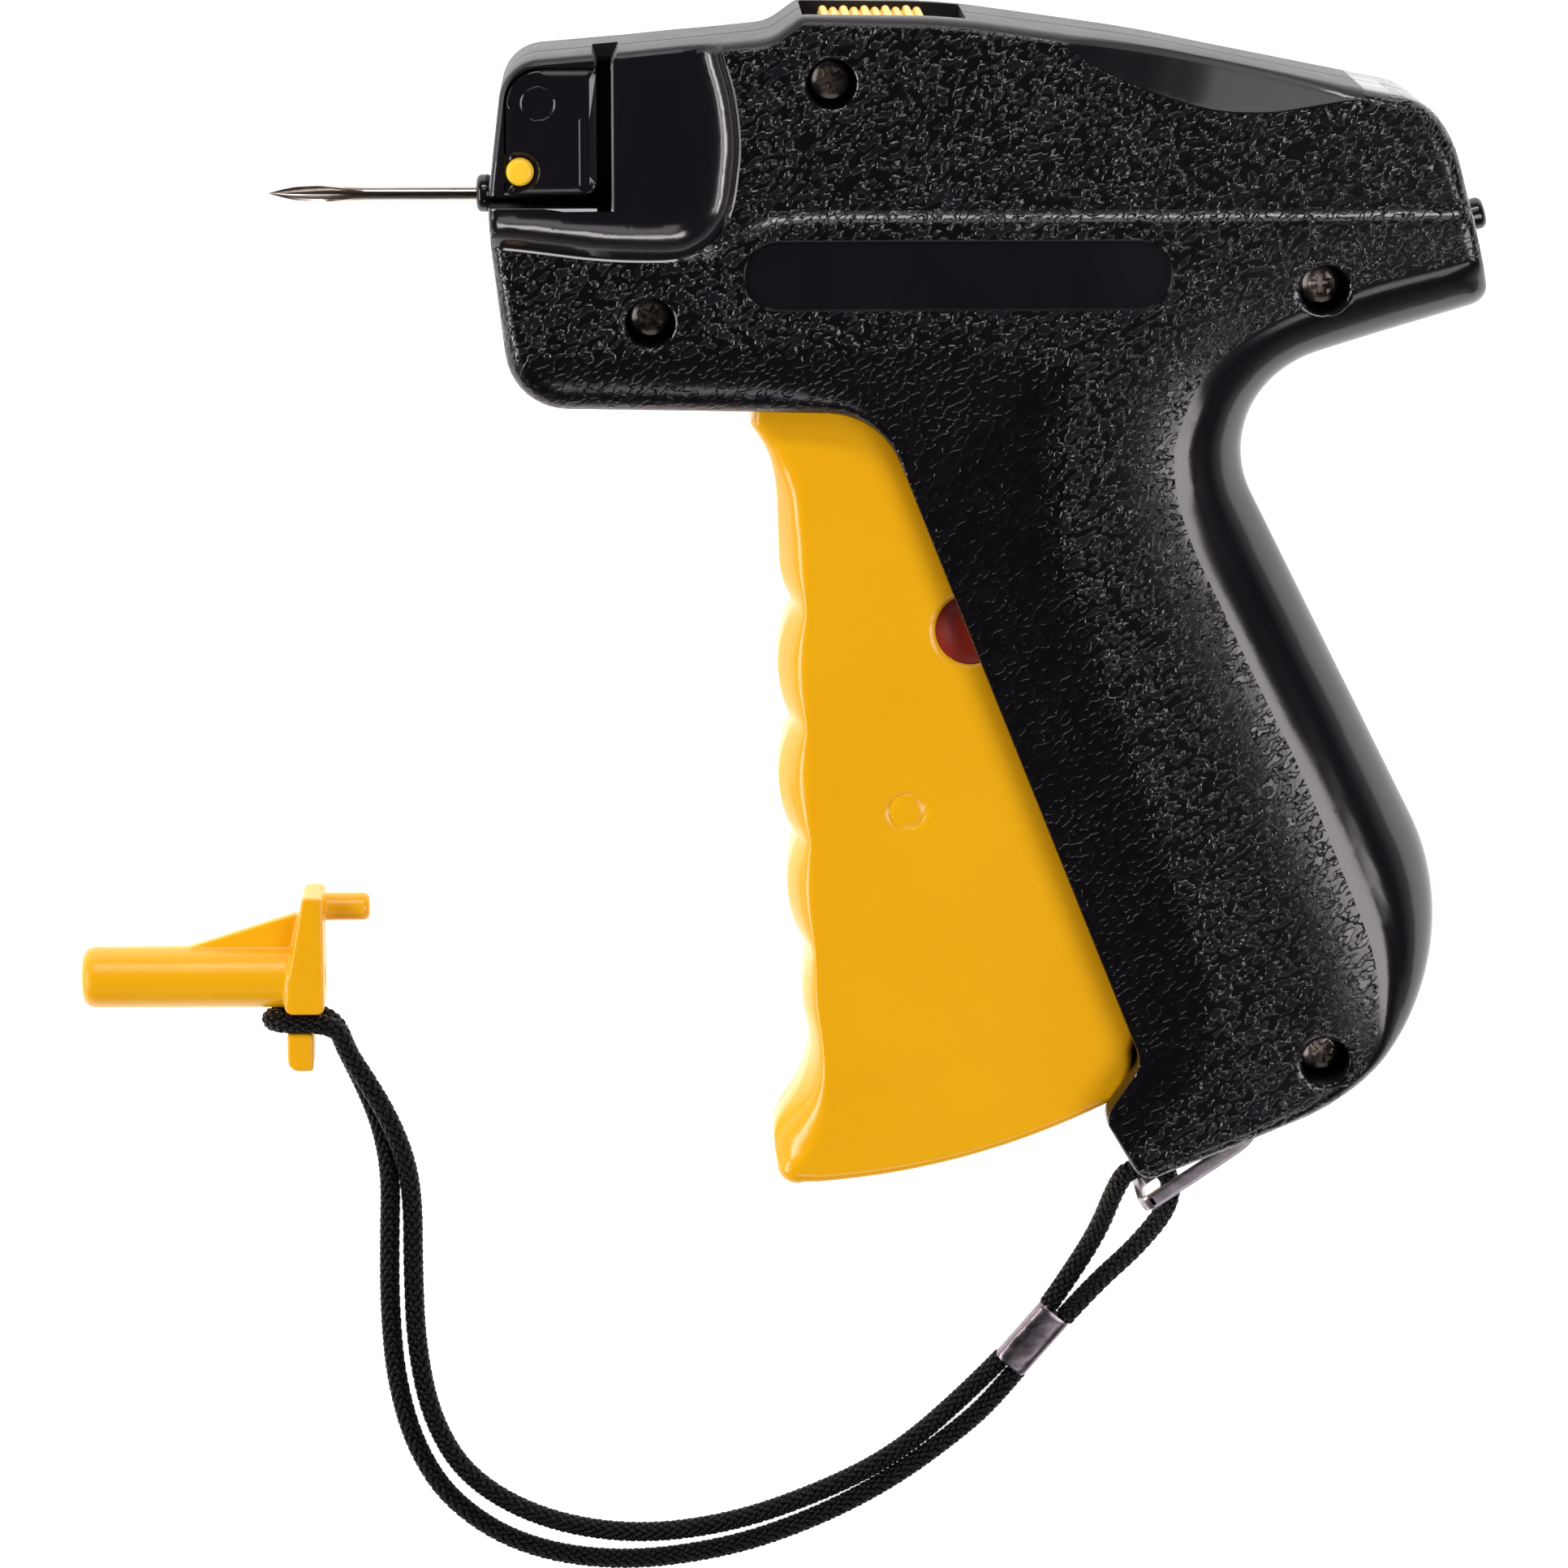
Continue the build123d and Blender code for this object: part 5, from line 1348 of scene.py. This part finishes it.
# ---- bail, ferrule and needle cap
bailShape = {"hook": (50.0, -61.9), "bend": (47.8, -68.9), "end": (35.0, -77.6), "half": 5.7, "wide": 2.0,
             "thick": 0.9, "corner": 1.5}
ferruleShape = {"from": (24.7, -97.8), "to": (18.6, -105.0), "wide": 4.9, "high": 3.2, "wall": 0.35,
                "seam": 0.16, "dents": [(0.3, 1.2, 0.12, 1.4), (0.62, 1.9, 0.15, 1.0), (0.84, 1.1, 0.1, 0.8)]}
capShape = {
    "axisY": -49.8, "axisZ": 4.4, "closed": -104.0, "length": 29.0, "radius": 4.1,
    "mouth": -72.2, "bore": 1.35, "boreLength": 28.5,
    "flange": [(-77.5, -54.05, 1.0), (-77.0, -50.0, 8.0), (-74.9, -38.3, 0.6), (-72.2, -38.3, 0.6),
               (-72.2, -54.05, 0.8)],
    "neck": ((-77.2, -73.8), (-57.45, -53.55)),
    "gusset": [(-90.9, -46.6), (-90.9, -46.0), (-76.0, -41.2), (-76.0, -46.6)],
    "tab": [(-77.2, -62.15, 1.5), (-77.2, -56.95, 0.3), (-73.8, -56.95, 0.3), (-73.8, -62.15, 0.3)],
    "pin": (-73.2, -66.1, -40.4, 1.85),
    "voxel": 0.24,
}


# A strip carried along a bent path: legs in the plane of the floor, a cross bar between them
def makeBail():
    s, r = bailShape, bailShape["corner"]
    hook, bend, end = (Vector(s[k]) for k in ("hook", "bend", "end"))
    turn = bend.lerp(hook, 0.06) + Vector((0.1, 0.1))
    leg = softLine([hook, hook.lerp(bend, 0.7), turn, bend.lerp(end, 0.2), end], 0.5)
    flat = (end - bend).normalized()
    out, across = flat.to_3d(), Vector((-flat.y, flat.x, 0))
    path = []
    for side in (-1, 1):
        run = []
        for p, ahead in zip(leg[:-2], leg[1:]):
            x, y = (ahead - p).normalized()
            run.append((Vector((*p, middle + side * s["half"])), Vector((x, y, 0)), Vector((-y, x, 0))))
        centre = Vector((*(end - flat * r), middle + side * (s["half"] - r)))
        for a in (pi / 2 * k / 8 for k in range(9)):
            place = centre + out * (r * sin(a)) + Vector((0, 0, side * r * cos(a)))
            run.append((place, out * cos(a) - Vector((0, 0, side)) * sin(a), across))
        path.append(run)
    whole = path[0] + [(p, -way, across) for p, way, across in reversed(path[1])]

    def squared(value):  # rounds a section's corners less than an ellipse does
        return value * (abs(value) ** -0.6 if abs(value) > 0.02 else 1)

    turns = [2 * pi * (k + 0.5) / 16 for k in range(16)]
    ring = [(s["wide"] / 2 * squared(cos(t)), s["thick"] / 2 * squared(sin(t))) for t in turns]
    rings = [[p + across * u + way.cross(across) * v for u, v in ring] for p, way, across in whole]
    bail = lofted("bailStrip", rings)
    finishPiece(bail, "housing", "lanyard_bail", 50, "strip")


# A crimped sleeve: a flattened tube with a seam and a few tool dents
def makeFerrule():
    s = ferruleShape
    start, end = Vector(s["from"]), Vector(s["to"])
    way, length = (end - start).normalized(), (end - start).length
    across = Vector((-way.y, way.x))
    wide, high = s["wide"] / 2, s["high"] / 2
    turns = [2 * pi * i / 40 for i in range(40)]
    loops = {False: [], True: []}
    for inner, shrink in ((False, 0.0), (True, s["wall"])):
        for t in (k / 30 for k in range(31)):
            lip = 0.12 * (rollOver(t * 18) + rollOver((1 - t) * 18)) * (-1 if inner else 1)
            loop = []
            for a in turns:
                c, d = cos(a), sin(a)
                u = abs(c) ** 0.7 * (1 if c > 0 else -1) * (wide - shrink - lip)
                v = abs(d) ** 0.7 * (1 if d > 0 else -1) * (high - shrink - lip)
                if d > 0 and not inner:
                    for at, around, deep, size in s["dents"]:
                        v -= groove(hypot((t - at) * length, (a - around) * 1.8), deep, size)
                    v -= groove(u + 0.35, s["seam"], 0.14)
                place = start + way * (length * t) + across * u
                loop.append((place.x, place.y, high + float(v)))
            loops[inner].append(loop)
    sleeve = lofted("crimpSleeve", loops[False] + loops[True][::-1], True)
    return finishPiece(sleeve, "housing", "cord_ferrule", 45, "crimp")


# The cap is drawn from simple solids, joined, and its corners run together as in one moulding
def makeCap():
    s = capShape
    y, z, r, axis = s["axisY"], s["axisZ"], s["radius"], (1, 0, 0)
    profile = [(0.0, 0.4), (0.0, r - 1.5), (0.25, r - 0.75), (0.8, r - 0.25), (1.6, r - 0.06), (s["length"], r)]
    tube = turnedShape("capTube", profile, (s["closed"], y, z), axis, 64)
    x0, x1, pinY, pinR = s["pin"]
    reach = x1 - x0
    profile = [(0, pinR), (reach - 0.7, pinR), (reach - 0.2, pinR - 0.25), (reach, pinR - 0.8)]
    pin = turnedShape("pin", profile, (x0, pinY, z), axis, 40)
    cut(tube, [prism("flange", roundedLoop(s["flange"]), 0.0, 8.8),
               prism("gusset", s["gusset"], z - 1.0, z + 1.0), pin,
               slab("neck", *s["neck"], (z - 1.2, z + 1.2)),
               prism("tab", roundedLoop(s["tab"], 0.4), z - 3.0, z + 3.0)], "UNION")
    bore, deep = s["bore"], s["boreLength"]
    cut(tube, [turnedShape("bore", [(0, bore), (deep - 0.5, bore), (deep + 1, bore + 0.9)],
                           (s["mouth"] - deep, y, z), axis, 36)])
    remesh = tube.modifiers.new("one moulding", "REMESH")
    remesh.mode, remesh.voxel_size = "VOXEL", s["voxel"]
    soften = tube.modifiers.new("soft corners", "SMOOTH")
    soften.factor, soften.iterations = 0.5, 7
    tube.modifiers.new("fewer faces", "DECIMATE").ratio = 0.35
    bake(tube)
    tube.name = "needleCover"
    finishPiece(tube, "housing", "needle_cap", 60, "cap")


makeBail()
makeCords(makeFerrule())
makeCap()
print("bail, sleeve and needle cap are made")


# ---- internals keep their CAD shapes and take real finishes
internals = {
    "trigger_pivot_pin": "zinc", "trigger_return_spring": "spring", "drive_lever": "zinc",
    "drive_lever_pin": "zinc", "drive_pin": "dark", "carriage_pin": "dark", "pusher_carriage": "white",
    "ejector_rod": "needle", "feed_wheel": "button", "feed_wheel_axle": "zinc", "feed_pawl": "white",
    "feed_pawl_pin": "zinc",
}
for name, finish in internals.items():
    dress(nodes[name], finish)
print("inner pieces are finished")
